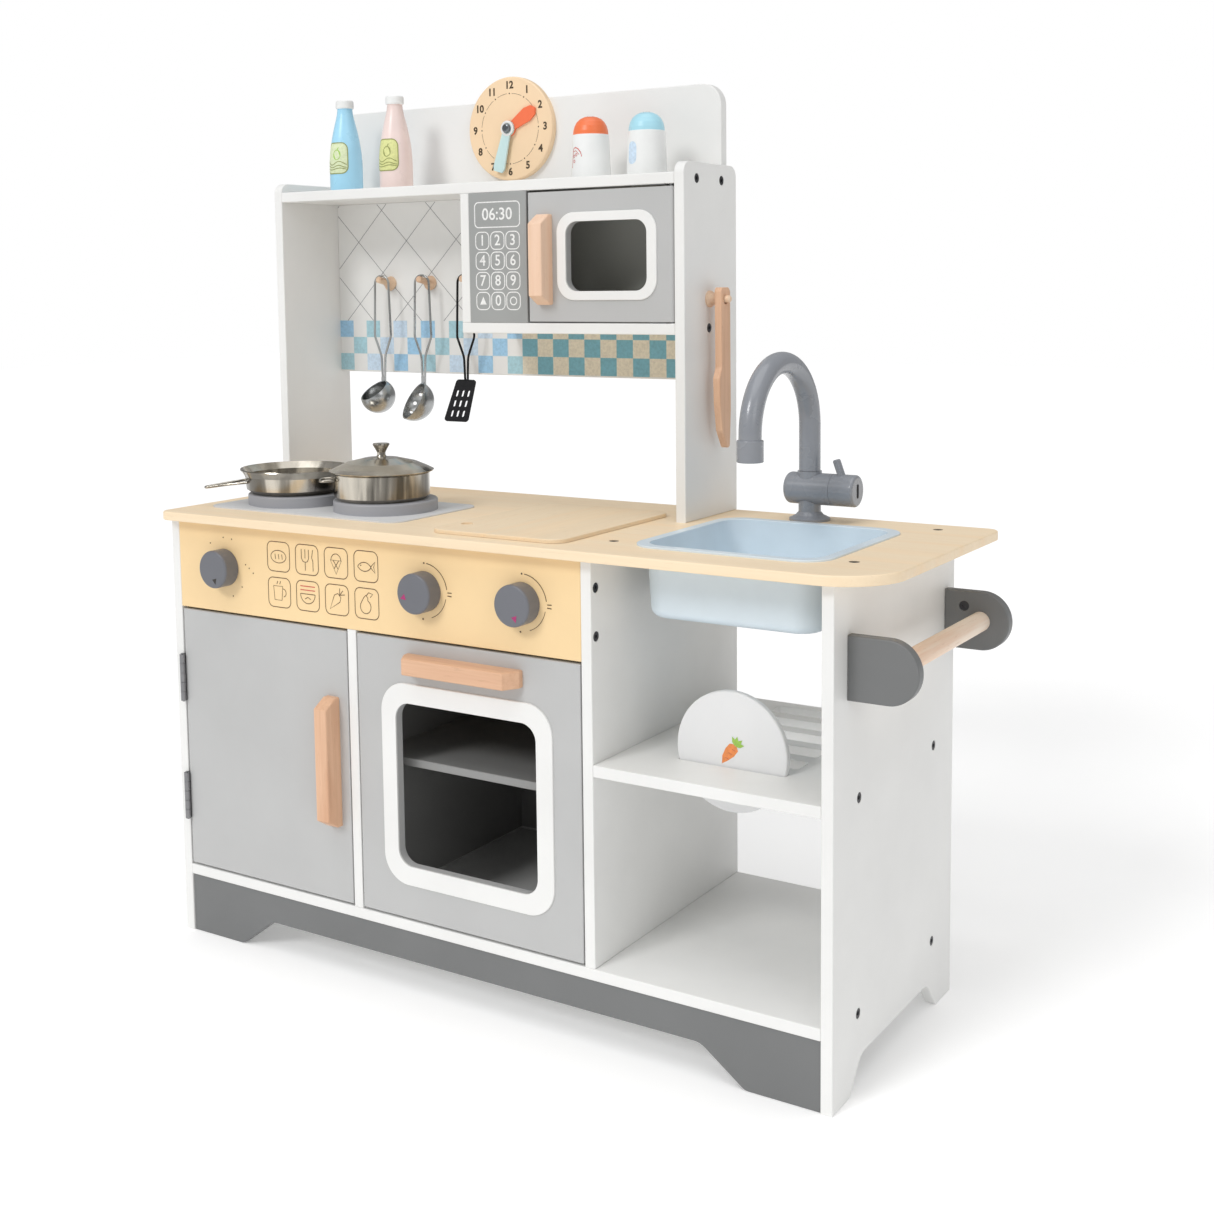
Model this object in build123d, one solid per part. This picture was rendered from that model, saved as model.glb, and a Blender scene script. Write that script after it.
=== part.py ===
"""Children's toy kitchen: cabinet, hob, oven, microwave, sink, clock and loose cookware.

Sizes are millimetres. The pieces are laid out from the cabinet's own corner: X runs to the right from the
outer face of the left side panel, Y runs back from the front edges of the side panels, Z runs up from the
floor. On export everything moves so that the origin is under the middle of the whole object.
"""
import os
from math import cos, radians, sin

from build123d import *

# ---- driving dimensions: cabinet -------------------------------------------------------------------
BOARD = 12.0                 # thickness of every structural board
DOOR_T = 9.0                 # thickness of the doors and of the keypad panel
WIDTH = 830.0                # over the lower side panels
DEPTH = 304.0                # side panel depth
EDGE_R = 1.2                 # softened board edges
BODY_GAP = 0.3               # air between a loose piece and what it stands on
DOOR_GAP = 1.5               # gap at the sides and foot of a door
DOOR_TOP_GAP = 2.6           # gap over a door

KICK_H = 69.0
FASCIA_Z = 389.0             # underside of the control panel
TOP_Z = 491.0                # underside of the worktop
WORKTOP_T = 10.0
WORK_Z = TOP_Z + WORKTOP_T
WORK_LEFT, WORK_RIGHT = -3.0, 879.5
WORK_FRONT = -17.0
WORK_CORNER = 62.0           # large corner beside the sink
WORK_SMALL_CORNER = 14.0

DIVIDER_X = 264.0            # left face of the cupboard/oven divider
MIDDLE_X = 564.0             # left face of the panel between oven and open bay
BACK_T = 3.0
BACK_Y = 299.0               # front face of the lower back panel
FLOOR_Z = KICK_H + BOARD     # top of the bottom board
FOOT_RISE = 32.0             # height of the arch under a side panel
FOOT_FRONT, FOOT_BACK = 40.0, 262.0
KICK_RISE = 35.0
KICK_FOOT = 78.0             # length of each foot of the kick board
KICK_Y = 2.0

OVEN_SHELF_Z, OVEN_SHELF_T, OVEN_SHELF_Y = 241.0, 9.0, 25.0
BAY_SHELF_Z = 276.0
PLATE_SLOT_Y, PLATE_SLOT_W = 66.0, 12.0          # the narrow slot that holds the plate
SLOT_FIRST_Y, SLOT_PITCH, SLOT_COUNT, SLOT_W = 101.0, 43.5, 5, 26.0

# ---- driving dimensions: doors ---------------------------------------------------------------------
HINGE_X, HINGE_Y = 13.2, -3.5            # pin of the cupboard hinges
HINGE_Z = (165.0, 305.5)                 # middle heights of the two hinges
HINGE_H, KNUCKLE_R, LEAF_T = 55.0, 3.2, 1.0
OVEN_PIVOT_Z = 98.0
OVEN_PIN_R, MICRO_PIN_R, RUN = 2.5, 2.0, 0.05
PIN_IN = 8.0                             # how far a pivot pin enters a board
HANDLE_W, HANDLE_D, HANDLE_BEVEL = 18.0, 22.0, 10.0
FRAME_T = 2.0                            # raised window frames
OVEN_WINDOW = (180.0, 177.0, 18.0)       # width, height, corner radius
OVEN_FRAME = (219.0, 219.0, 32.0)
OVEN_WINDOW_Z = 230.5
MICRO_WINDOW = (103.0, 75.5, 14.0)
MICRO_FRAME = (126.5, 95.5, 22.0)
MICRO_WINDOW_X, MICRO_WINDOW_Z = 480.0, 784.5

# ---- driving dimensions: upper unit ----------------------------------------------------------------
UP_LEFT = -3.0               # left face of the upper unit, flush with the worktop's end
UP_WIDTH = 576.0
UP_Y = 187.0
UP_TOP = 881.0
TOP_SHELF_Z = 858.0
MICRO_SHELF_Z = 700.0
UP_DIVIDER_X = 284.0
KEYPAD_RIGHT = 375.5
SPLASH_Y, SPLASH_T, SPLASH_Z = 288.0, 6.0, 646.0
BACKBOARD_TOP, BACKBOARD_CORNER = 972.0, 24.0
CLOCK_X, CLOCK_Z, CLOCK_R, CLOCK_T = 286.0, 938.0, 60.5, 8.0
SHELF_TOP = TOP_SHELF_Z + BOARD

# ---- driving dimensions: fittings ------------------------------------------------------------------
KNOB_X = (84.0, 371.5, 495.0)
KNOB_Z, KNOB_R, KNOB_D = 440.5, 21.3, 19.5
SPINDLE_R = 3.0
RAIL_H, RAIL_REACH, RAIL_Z = 60.0, 68.0, 409.5
RAIL_Y = (29.0, 275.0)
BAR_R = 10.0
SINK_X, SINK_Y = (597.0, 804.0), (30.0, 243.0)
SINK_BOTTOM, SINK_WALL, SINK_RIM_T = 430.0, 2.5, 2.0
SINK_LIP, SINK_TAPER = 8.4, 3.0          # overhang of the rim, inward lean of the walls
FAUCET_X, FAUCET_Y, FAUCET_Z = 681.0, 270.0, 535.0
FAUCET_R, NECK_R, ARCH_R, ARCH_Z = 17.0, 11.5, 69.5, 602.5
BURNER_X, BURNER_Y, BURNER_R = (97.0, 229.0), 110.0, 59.0
HOB_T, BURNER_TOP = 1.5, 515.0
PAN_X, PAN_Y, PAN_TURN = 93.0, 109.0, -139.0   # a handle points along its vessel's turn
POT_X, POT_Y, POT_TURN = 225.0, 109.0, -138.0
PEG_X, PEG_Z, PEG_TILT = (95.0, 159.0, 225.0), 757.5, 12.0
KNIFE_PEG_Y, KNIFE_PEG_Z = 241.0, 737.0
PEG_NECK, PEG_L = 4.0, 26.0
UTENSIL_Y = 270.0
PLATE_X, PLATE_R, PLATE_T = 695.0, 60.0, 8.0
PLATE_RISE = 15.0                        # plate centre above the shelf's top face

# ---- driving dimensions: screws --------------------------------------------------------------------
SCREW_BORE_R, SCREW_R, SCREW_SINK, SCREW_T = 5.2, 4.9, 2.4, 2.0
SIDE_SCREWS = [(58.0, 75.0), (248.0, 75.0)]
BAY_SCREWS = [(58.0, 282.0), (248.0, 282.0)]
FASCIA_SCREWS = [(9.0, 414.0), (9.0, 462.0)]
UPPER_SCREWS = [(215.0, 864.0), (270.0, 864.0)]
MICRO_SCREW = (241.0, 706.0)
WORK_SCREWS = [(570.0, 53.0), (824.0, 58.0), (824.0, 271.0)]
RAIL_SCREW = (851.0, 424.0)

# ---- the origin: under the middle of the whole object ----------------------------------------------
ORIGIN_X = (WORK_LEFT + WIDTH + RAIL_REACH) / 2
ORIGIN_Y = (DEPTH - HANDLE_D) / 2


# ---- helpers ---------------------------------------------------------------------------------------
def block(x0, x1, y0, y1, z0, z1):
    """A plain box between two corners."""
    size = Box(x1 - x0, y1 - y0, z1 - z0)
    return Pos((x0 + x1) / 2, (y0 + y1) / 2, (z0 + z1) / 2) * size


def board(x0, x1, y0, y1, z0, z1, radius=EDGE_R):
    """A sheet of board with softened edges."""
    piece = block(x0, x1, y0, y1, z0, z1)
    return fillet(piece.edges(), radius)


def rod_x(x0, x1, y, z, radius):
    return Pos((x0 + x1) / 2, y, z) * Rot(0, 90, 0) * Cylinder(radius, x1 - x0)


def rod_y(x, y0, y1, z, radius):
    return Pos(x, (y0 + y1) / 2, z) * Rot(90, 0, 0) * Cylinder(radius, y1 - y0)


def rod_z(x, y, z0, z1, radius):
    return Pos(x, y, (z0 + z1) / 2) * Cylinder(radius, z1 - z0)


def slab_y(x, z, width, height, corner, y0, y1):
    """A rounded rectangle standing upright and facing the front."""
    outline = RectangleRounded(width, height, corner)
    upright = Pos(x, y0, z) * Rot(90, 0, 0) * extrude(outline, -(y1 - y0))
    return upright


def slab_z(x, y, width, depth, corner, z0, z1):
    """A rounded rectangle lying flat."""
    return Pos(x, y, z0) * extrude(RectangleRounded(width, depth, corner), z1 - z0)


def turned(points, corners=()):
    """A solid of revolution about Z from (radius, height) points; corners are rounded edges."""
    outline = make_face(Polyline(*[(r, 0, z) for r, z in points], close=True))
    solid = revolve(outline, Axis.Z)
    for height, radius in corners:
        rim = solid.edges().filter_by(GeomType.CIRCLE).filter_by_position(Axis.Z, height - 0.01, height + 0.01)
        solid = fillet(rim, radius)
    return solid


def wire(points, bends, radius):
    """Round wire bent along a path of straight runs and arcs."""
    path = FilletPolyline(*points, radius=bends)
    start = path @ 0
    section = Plane(origin=start, z_dir=path % 0) * Circle(radius)
    return sweep(section, path=path)


# ---- lower cabinet ---------------------------------------------------------------------------------
def side_panel(x0, outer_x, screws):
    """A side panel with an arch between its two feet and counterbores for the assembly screws."""
    slope = 26.0
    outline = Polyline(
        (0, 0), (FOOT_FRONT, 0), (FOOT_FRONT + slope, FOOT_RISE), (FOOT_BACK - slope, FOOT_RISE),
        (FOOT_BACK, 0), (DEPTH, 0), (DEPTH, TOP_Z), (0, TOP_Z), close=True)
    profile = make_face(Plane.YZ * outline)
    panel = Pos(x0, 0, 0) * extrude(profile, BOARD, dir=(1, 0, 0))
    upright = panel.edges().filter_by(Axis.X)
    arch = upright.filter_by_position(Axis.Z, FOOT_RISE - 1, FOOT_RISE + 1)
    panel = fillet(arch, 18)
    upright = panel.edges().filter_by(Axis.X)
    toes = upright.filter_by_position(Axis.Z, -1, 1).filter_by_position(Axis.Y, FOOT_FRONT - 1, FOOT_BACK + 1)
    panel = fillet(toes, 6)
    panel = fillet(panel.faces().sort_by(Axis.X)[0].edges(), EDGE_R)
    panel = fillet(panel.faces().sort_by(Axis.X)[-1].edges(), EDGE_R)
    inward = 1 if outer_x == x0 else -1
    for y, z in screws:
        panel -= rod_x(*sorted((outer_x, outer_x + inward * SCREW_SINK)), y, z, SCREW_BORE_R)
    return panel


def middle_panel():
    panel = board(MIDDLE_X, MIDDLE_X + BOARD, 0, DEPTH, FLOOR_Z, TOP_Z)
    for y, z in FASCIA_SCREWS:
        panel -= rod_x(MIDDLE_X + BOARD - SCREW_SINK, MIDDLE_X + BOARD, y, z, SCREW_BORE_R)
    return panel - rod_x(MIDDLE_X, MIDDLE_X + PIN_IN, DOOR_T / 2, OVEN_PIVOT_Z, OVEN_PIN_R)


def divider_panel():
    right = DIVIDER_X + BOARD
    panel = board(DIVIDER_X, right, 0, BACK_Y, FLOOR_Z, TOP_Z)
    panel -= block(DIVIDER_X - 1, right + 1, -1, BOARD, FASCIA_Z, TOP_Z + 1)
    return panel - rod_x(right - PIN_IN, right, DOOR_T / 2, OVEN_PIVOT_Z, OVEN_PIN_R)


def bottom_board():
    return board(BOARD, WIDTH - BOARD, 0, DEPTH, KICK_H, FLOOR_Z)


def kick_board():
    """Toe board with a shallow arch, so it stands on two feet."""
    slope = 48.0
    left = [(BOARD, 0), (BOARD + KICK_FOOT, 0), (BOARD + KICK_FOOT + slope, KICK_RISE)]
    right = [(WIDTH - x, z) for x, z in reversed(left)]
    corners = left + right + [(WIDTH - BOARD, KICK_H), (BOARD, KICK_H)]
    profile = make_face(Plane.XZ * Polyline(*corners, close=True))
    kick = Pos(0, KICK_Y, 0) * extrude(profile, BOARD, dir=(0, 1, 0))
    ends = kick.edges().filter_by(Axis.Y)
    kick = fillet(ends.filter_by_position(Axis.Z, KICK_RISE - 1, KICK_RISE + 1), 20)
    ends = kick.edges().filter_by(Axis.Y).filter_by_position(Axis.Z, -1, 1)
    kick = fillet(ends.filter_by_position(Axis.X, BOARD + 5, WIDTH - BOARD - 5), 12)
    return fillet(kick.faces().sort_by(Axis.Y)[0].edges(), EDGE_R)


def sink_opening(margin):
    """Plan outline of the sink, drawn in by a margin: centre, width, depth, corner radius."""
    x, y = sum(SINK_X) / 2, sum(SINK_Y) / 2
    width = SINK_X[1] - SINK_X[0] - 2 * margin
    depth = SINK_Y[1] - SINK_Y[0] - 2 * margin
    return x, y, width, depth, 30.0 - margin / 2


def worktop():
    corners = [(WORK_LEFT, WORK_FRONT), (WORK_RIGHT, WORK_FRONT), (WORK_RIGHT, DEPTH), (WORK_LEFT, DEPTH)]
    outline = make_face(Polyline(*corners, close=True))
    top = Pos(0, 0, TOP_Z) * extrude(outline, WORKTOP_T)
    upright = top.edges().filter_by(Axis.Z).sort_by(Axis.X)
    top = fillet(upright[2:].sort_by(Axis.Y)[0], WORK_CORNER)
    upright = top.edges().filter_by(Axis.Z)
    others = upright.filter_by_position(Axis.X, WORK_LEFT - 1, WORK_LEFT + 1)
    others += upright.filter_by_position(Axis.Y, DEPTH - 1, DEPTH + 1)
    others = ShapeList(set(others))
    top = fillet(others, WORK_SMALL_CORNER)
    top = fillet(top.faces().sort_by(Axis.Z)[-1].edges(), 2.0)
    top = fillet(top.faces().sort_by(Axis.Z)[0].edges(), EDGE_R)
    top -= slab_z(*sink_opening(SINK_LIP - 0.4), TOP_Z - 1, WORK_Z + 1)
    for x, y in WORK_SCREWS:
        top -= rod_z(x, y, WORK_Z - SCREW_SINK, WORK_Z, SCREW_BORE_R)
    return top


def control_panel():
    panel = board(BOARD, MIDDLE_X, 0, BOARD, FASCIA_Z, TOP_Z)
    for x in KNOB_X:
        panel -= rod_y(x, 0, BOARD, KNOB_Z, SPINDLE_R)
    return panel


def lower_back_panel():
    return block(BOARD, MIDDLE_X, BACK_Y, BACK_Y + BACK_T, FLOOR_Z, TOP_Z)


def oven_shelf():
    top = OVEN_SHELF_Z + OVEN_SHELF_T
    return board(DIVIDER_X + BOARD, MIDDLE_X, OVEN_SHELF_Y, BACK_Y, OVEN_SHELF_Z, top)


def plate_chord():
    """Length of the plate across the shelf's top face, where it rests in its slot."""
    return 2 * (PLATE_R ** 2 - PLATE_RISE ** 2) ** 0.5


def bay_shelf():
    left, right = MIDDLE_X + BOARD, WIDTH - BOARD
    shelf = board(left, right, 0, DEPTH, BAY_SHELF_Z, BAY_SHELF_Z + BOARD)
    length = plate_chord() + 2 * BODY_GAP
    slots = [(PLATE_SLOT_Y, PLATE_SLOT_W)]
    slots += [(SLOT_FIRST_Y + index * SLOT_PITCH, SLOT_W) for index in range(SLOT_COUNT)]
    for y, width in slots:
        shelf -= slab_z(PLATE_X, y, length, width, 3.0, BAY_SHELF_Z - 1, BAY_SHELF_Z + BOARD + 1)
    return shelf


def towel_brackets():
    """Two D-shaped ears that carry the towel bar, one solid each."""
    ears = []
    for index, y in enumerate(RAIL_Y):
        radius = RAIL_H / 2
        centre = WIDTH + RAIL_REACH - radius
        ear = block(WIDTH, centre, y, y + BOARD, RAIL_Z - radius, RAIL_Z + radius)
        ear += rod_y(centre, y, y + BOARD, RAIL_Z, radius)
        ear = fillet(ear.faces().sort_by(Axis.Y)[0].edges(), 1.5)
        ear = fillet(ear.faces().sort_by(Axis.Y)[-1].edges(), 1.5)
        socket = (y + BOARD / 2, y + BOARD) if index == 0 else (y, y + BOARD / 2)
        ear -= rod_y(centre, *socket, RAIL_Z, BAR_R)
        if index == 1:
            ear -= rod_y(RAIL_SCREW[0], y, y + SCREW_SINK, RAIL_SCREW[1], SCREW_BORE_R)
        ears.append(ear)
    return ears


def towel_bar():
    x = WIDTH + RAIL_REACH - RAIL_H / 2
    return rod_y(x, RAIL_Y[0] + BOARD / 2, RAIL_Y[1] + BOARD / 2, RAIL_Z, BAR_R)


# ---- doors -----------------------------------------------------------------------------------------
def knuckle_spans(middle):
    """Heights of the five hinge knuckles; even ones belong to the frame leaf."""
    pitch = HINGE_H / 5
    start = middle - HINGE_H / 2
    return [(start + i * pitch + 0.2, start + (i + 1) * pitch - 0.2) for i in range(5)]


def hinge_leaves(leaf_x, parity, leaf_y, reach, bore_r):
    """The leaves of both butt hinges that share one side, each with its knuckles."""
    leaves = []
    for middle in HINGE_Z:
        low, high = middle - HINGE_H / 2, middle + HINGE_H / 2
        leaf = block(leaf_x, leaf_x + LEAF_T, leaf_y, reach, low, high)
        for index, (z0, z1) in enumerate(knuckle_spans(middle)):
            if index % 2 == parity:
                leaf += rod_z(HINGE_X, HINGE_Y, z0, z1, KNUCKLE_R)
                leaf += block(leaf_x, leaf_x + LEAF_T, HINGE_Y, leaf_y, z0, z1)
        leaf -= rod_z(HINGE_X, HINGE_Y, low - 1, high + 1, bore_r)
        leaves.append(leaf)
    return leaves


HINGE_PIN_R = 1.4
PLATE_GAUGE = 0.8                        # bearing plates over and under the microwave door


def hinge_frame_leaves():
    return hinge_leaves(BOARD, 0, 0.2, 18.0, HINGE_PIN_R)


def hinge_door_leaves():
    return hinge_leaves(HINGE_X + 0.2, 1, 0.2, DOOR_T, HINGE_PIN_R + RUN)


def pivot_pins():
    """Steel pins of the three doors, two each, and the microwave door's two bearing plates."""
    pins = [rod_z(HINGE_X, HINGE_Y, z - HINGE_H / 2 - 1, z + HINGE_H / 2 + 1, HINGE_PIN_R) for z in HINGE_Z]
    y, z = DOOR_T / 2, OVEN_PIVOT_Z
    left, right = DIVIDER_X + BOARD, MIDDLE_X
    pins.append(rod_x(left - PIN_IN, left + DOOR_GAP + PIN_IN, y, z, OVEN_PIN_R))
    pins.append(rod_x(right - DOOR_GAP - PIN_IN, right + PIN_IN, y, z, OVEN_PIN_R))
    x, y = micro_pivot()
    floor, ceiling = MICRO_SHELF_Z + BOARD, TOP_SHELF_Z
    pins.append(rod_z(x, y, floor - PIN_IN, floor + DOOR_GAP + PIN_IN, MICRO_PIN_R))
    pins.append(rod_z(x, y, ceiling - DOOR_TOP_GAP - PIN_IN, ceiling + PIN_IN, MICRO_PIN_R))
    for z0, z1 in ((floor, floor + PLATE_GAUGE), (ceiling - PLATE_GAUGE, ceiling)):
        pins.append(block(x - 24, x - 5, UP_Y + 0.5, UP_Y + DOOR_T, z0, z1))
    return pins


def cupboard_door():
    left = HINGE_X + 0.2 + LEAF_T
    return board(left, DIVIDER_X - DOOR_GAP, 0, DOOR_T, FLOOR_Z + DOOR_GAP + 1, FASCIA_Z - DOOR_TOP_GAP)


def window_door(left, right, low, high, front, window, window_x, window_z):
    """A door board with a rounded window cut through it."""
    door = board(left, right, front, front + DOOR_T, low, high)
    width, height, corner = window
    return door - slab_y(window_x, window_z, width, height, corner, front - 1, front + DOOR_T + 1)


def window_frame(frame, window, x, z, front):
    """The raised ring round a window, on the door's front face."""
    width, height, corner = frame
    ring = slab_y(x, z, width, height, corner, front - FRAME_T, front)
    ring = fillet(ring.faces().sort_by(Axis.Y)[0].edges(), 1.0)
    width, height, corner = window
    return ring - slab_y(x, z, width, height, corner, front - FRAME_T - 1, front + 1)


def oven_window_x():
    return (DIVIDER_X + BOARD + MIDDLE_X) / 2


def oven_door():
    left, right = DIVIDER_X + BOARD + DOOR_GAP, MIDDLE_X - DOOR_GAP
    low, high = FLOOR_Z + DOOR_GAP + 1, FASCIA_Z - DOOR_TOP_GAP
    door = window_door(left, right, low, high, 0, OVEN_WINDOW, oven_window_x(), OVEN_WINDOW_Z)
    depth = PIN_IN + 0.5
    for x0, x1 in ((left, left + depth), (right - depth, right)):
        door -= rod_x(x0, x1, DOOR_T / 2, OVEN_PIVOT_Z, OVEN_PIN_R + RUN)
    return door


def oven_window_frame():
    return window_frame(OVEN_FRAME, OVEN_WINDOW, oven_window_x(), OVEN_WINDOW_Z, 0)


def micro_pivot():
    """Pin position of the microwave door: the middle of its rounded right edge."""
    return MIDDLE_X - 1.0 - DOOR_T / 2, UP_Y + DOOR_T / 2


def microwave_door():
    x, y = micro_pivot()
    low, high = MICRO_SHELF_Z + BOARD + DOOR_GAP, TOP_SHELF_Z - DOOR_TOP_GAP
    door = block(KEYPAD_RIGHT + 2.5, x, UP_Y, UP_Y + DOOR_T, low, high) + rod_z(x, y, low, high, DOOR_T / 2)
    door = fillet(door.edges().filter_by(Axis.Z).sort_by(Axis.X)[:2], EDGE_R)
    width, height, corner = MICRO_WINDOW
    door -= slab_y(MICRO_WINDOW_X, MICRO_WINDOW_Z, width, height, corner, UP_Y - 1, UP_Y + DOOR_T + 1)
    depth = PIN_IN + 0.5
    for z0, z1 in ((low, low + depth), (high - depth, high)):
        door -= rod_z(x, y, z0, z1, MICRO_PIN_R + RUN)
    return door


def microwave_window_frame():
    return window_frame(MICRO_FRAME, MICRO_WINDOW, MICRO_WINDOW_X, MICRO_WINDOW_Z, UP_Y)


def handle(length):
    """A beech bar handle along X with bevelled ends; its back face is on Y = 0."""
    half = length / 2
    front = half - HANDLE_BEVEL
    face = make_face(Polyline((-half, 0), (-half, -6), (-front, -HANDLE_D), (front, -HANDLE_D),
                              (half, -6), (half, 0), close=True))
    bar = Pos(0, 0, -HANDLE_W / 2) * extrude(face, HANDLE_W)
    return fillet(bar.edges().filter_by_position(Axis.Y, -HANDLE_D - 1, -0.5), 2.0)


def cupboard_handle():
    return Pos(241, 0, 240.5) * Rot(0, 90, 0) * handle(144)


def oven_handle():
    return Pos(oven_window_x(), 0, 363.5) * handle(148)


def microwave_handle():
    return Pos(401, UP_Y, 781.5) * Rot(0, 90, 0) * handle(99)


# ---- upper unit ------------------------------------------------------------------------------------
def upper_panel(x0, outer_x, screws):
    """An upright of the upper unit, with rounded top corners."""
    panel = block(x0, x0 + BOARD, UP_Y, DEPTH, WORK_Z, UP_TOP)
    tops = panel.edges().filter_by(Axis.X).filter_by_position(Axis.Z, UP_TOP - 1, UP_TOP + 1)
    panel = fillet(tops, 12.0)
    panel = fillet(panel.faces().sort_by(Axis.X)[0].edges(), EDGE_R)
    panel = fillet(panel.faces().sort_by(Axis.X)[-1].edges(), EDGE_R)
    inward = 1 if outer_x == x0 else -1
    for y, z in screws:
        panel -= rod_x(*sorted((outer_x, outer_x + inward * SCREW_SINK)), y, z, SCREW_BORE_R)
    return panel


def top_shelf():
    shelf = board(UP_LEFT + BOARD, MIDDLE_X, UP_Y, DEPTH, TOP_SHELF_Z, SHELF_TOP)
    x, y = micro_pivot()
    return shelf - rod_z(x, y, TOP_SHELF_Z, TOP_SHELF_Z + PIN_IN, MICRO_PIN_R)


def microwave_shelf():
    top = MICRO_SHELF_Z + BOARD
    shelf = board(UP_DIVIDER_X, MIDDLE_X, UP_Y, SPLASH_Y, MICRO_SHELF_Z, top)
    x, y = micro_pivot()
    return shelf - rod_z(x, y, top - PIN_IN, top, MICRO_PIN_R)


def upper_divider():
    return board(UP_DIVIDER_X, UP_DIVIDER_X + BOARD, UP_Y, SPLASH_Y, MICRO_SHELF_Z + BOARD, TOP_SHELF_Z)


def keypad_panel():
    low, high = MICRO_SHELF_Z + BOARD, TOP_SHELF_Z
    return board(UP_DIVIDER_X + BOARD, KEYPAD_RIGHT, UP_Y, UP_Y + DOOR_T, low, high, 0.8)


def backboard():
    """The board behind the top shelf that carries the clock."""
    back = block(UP_LEFT + BOARD, MIDDLE_X, DEPTH - BOARD, DEPTH, SHELF_TOP, BACKBOARD_TOP)
    tops = back.edges().filter_by(Axis.Y).filter_by_position(Axis.Z, BACKBOARD_TOP - 1, BACKBOARD_TOP + 1)
    back = fillet(tops, BACKBOARD_CORNER)
    return fillet(back.faces().sort_by(Axis.Y)[0].edges(), EDGE_R)


def backsplash():
    return board(UP_LEFT + BOARD, MIDDLE_X, SPLASH_Y, SPLASH_Y + SPLASH_T, SPLASH_Z, TOP_SHELF_Z, 0.8)


# ---- clock -----------------------------------------------------------------------------------------
CLOCK_FRONT = DEPTH - BOARD - CLOCK_T
HAND_T, HAND_GAP = 2.5, 0.5
PIN_R, PIN_HEAD_R, HUB_R = 3.0, 5.5, 9.0


def clock_face():
    disc = rod_y(CLOCK_X, CLOCK_FRONT, CLOCK_FRONT + CLOCK_T, CLOCK_Z, CLOCK_R)
    disc = fillet(disc.faces().sort_by(Axis.Y)[0].edges(), 2.0)
    return disc - rod_y(CLOCK_X, CLOCK_FRONT, CLOCK_FRONT + CLOCK_T, CLOCK_Z, PIN_R)


def clock_hand(outline, angle, layer):
    """A flat hand with a round hub, turned clockwise from twelve by an angle in degrees."""
    back = CLOCK_FRONT - HAND_GAP - layer * (HAND_T + HAND_GAP)
    plate = extrude(make_face(Polyline(*outline, close=True)), HAND_T)
    plate = fillet(plate.edges().filter_by(Axis.Z), 1.5)
    plate += Pos(0, 0, HAND_T / 2) * Cylinder(HUB_R, HAND_T)
    plate -= Pos(0, 0, HAND_T / 2) * Cylinder(PIN_R + RUN, HAND_T + 1)
    upright = Rot(90, 0, 0) * Rot(0, 0, -angle) * plate
    return Pos(CLOCK_X, back, CLOCK_Z) * upright


def clock_hour_hand():
    outline = [(-4.5, 0), (-8.5, 30), (-6, 40), (0, 44), (6, 40), (8.5, 30), (4.5, 0)]
    return clock_hand(outline, 60, 0)


def clock_minute_hand():
    outline = [(-5, 0), (-8, 47), (-6, 52), (6, 52), (8, 47), (5, 0)]
    return clock_hand(outline, 196, 1)


def spindles():
    """Turned pins: one for each knob and one for the clock hands."""
    head = CLOCK_FRONT - HAND_GAP * 3 - HAND_T * 2
    clock_pin = rod_y(CLOCK_X, head - 1, CLOCK_FRONT + CLOCK_T, CLOCK_Z, PIN_R)
    cap = rod_y(CLOCK_X, head - 3.5, head, CLOCK_Z, PIN_HEAD_R)
    clock_pin += fillet(cap.faces().sort_by(Axis.Y)[0].edges(), 2.5)
    pins = [rod_y(x, -KNOB_D + 8, BOARD, KNOB_Z, SPINDLE_R) for x in KNOB_X]
    return pins + [clock_pin]


# ---- control knobs ---------------------------------------------------------------------------------
def knob(x):
    """A round turned knob with a softened rim and a blind bore for its spindle."""
    body = rod_y(x, -KNOB_D, -0.5, KNOB_Z, KNOB_R)
    body = fillet(body.faces().sort_by(Axis.Y)[0].edges(), 2.5)
    return body - rod_y(x, -KNOB_D + 7.5, 0, KNOB_Z, SPINDLE_R + RUN)


# ---- hob and cookware ------------------------------------------------------------------------------
def hob_plate():
    plate = slab_z(164, 110, 284, 154, 20, WORK_Z, WORK_Z + HOB_T)
    return fillet(plate.faces().sort_by(Axis.Z)[-1].edges(), 0.5)


def burner_discs():
    discs = []
    for x in BURNER_X:
        disc = rod_z(x, BURNER_Y, WORK_Z + HOB_T, BURNER_TOP, BURNER_R)
        discs.append(fillet(disc.faces().sort_by(Axis.Z)[-1].edges(), 2.0))
    return discs


def frying_pan():
    """Pressed steel pan with a flared rim and a wire loop handle welded to its wall."""
    shell = turned([(0, 0), (50, 0), (57, 5), (58.5, 20), (64, 27.5), (63.5, 28.6), (57.2, 21),
                    (55.8, 6), (49.5, 1.3), (0, 1.3)])
    grip = wire([(54.5, -17, 13.5), (78, -10, 11), (104, -4, 7.5), (104, 4, 7.5), (78, 10, 11),
                 (54.5, 17, 13.5)], [24, 3.9, 3.9, 24], 1.5)
    hollow = Pos(0, 0, 1.4) * Cone(55, 57, 30, align=(Align.CENTER, Align.CENTER, Align.MIN))
    grip -= hollow
    return Pos(PAN_X, PAN_Y, BURNER_TOP + BODY_GAP) * Rot(0, 0, PAN_TURN) * (shell + grip)


def cooking_pot():
    """Pressed steel pot with a small wire side handle."""
    pot = turned([(0, 0), (50, 0), (54, 4), (54, 29), (55.5, 30), (52.7, 30), (52.7, 4.6), (49.5, 1.3),
                  (0, 1.3)])
    grip = wire([(53.3, -13, 23), (69, -13, 22), (69, 13, 22), (53.3, 13, 23)], [6, 6], 1.5)
    grip -= Pos(0, 0, 18) * Cylinder(53, 20)
    return Pos(POT_X, POT_Y, BURNER_TOP + BODY_GAP) * Rot(0, 0, POT_TURN) * (pot + grip)


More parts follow.
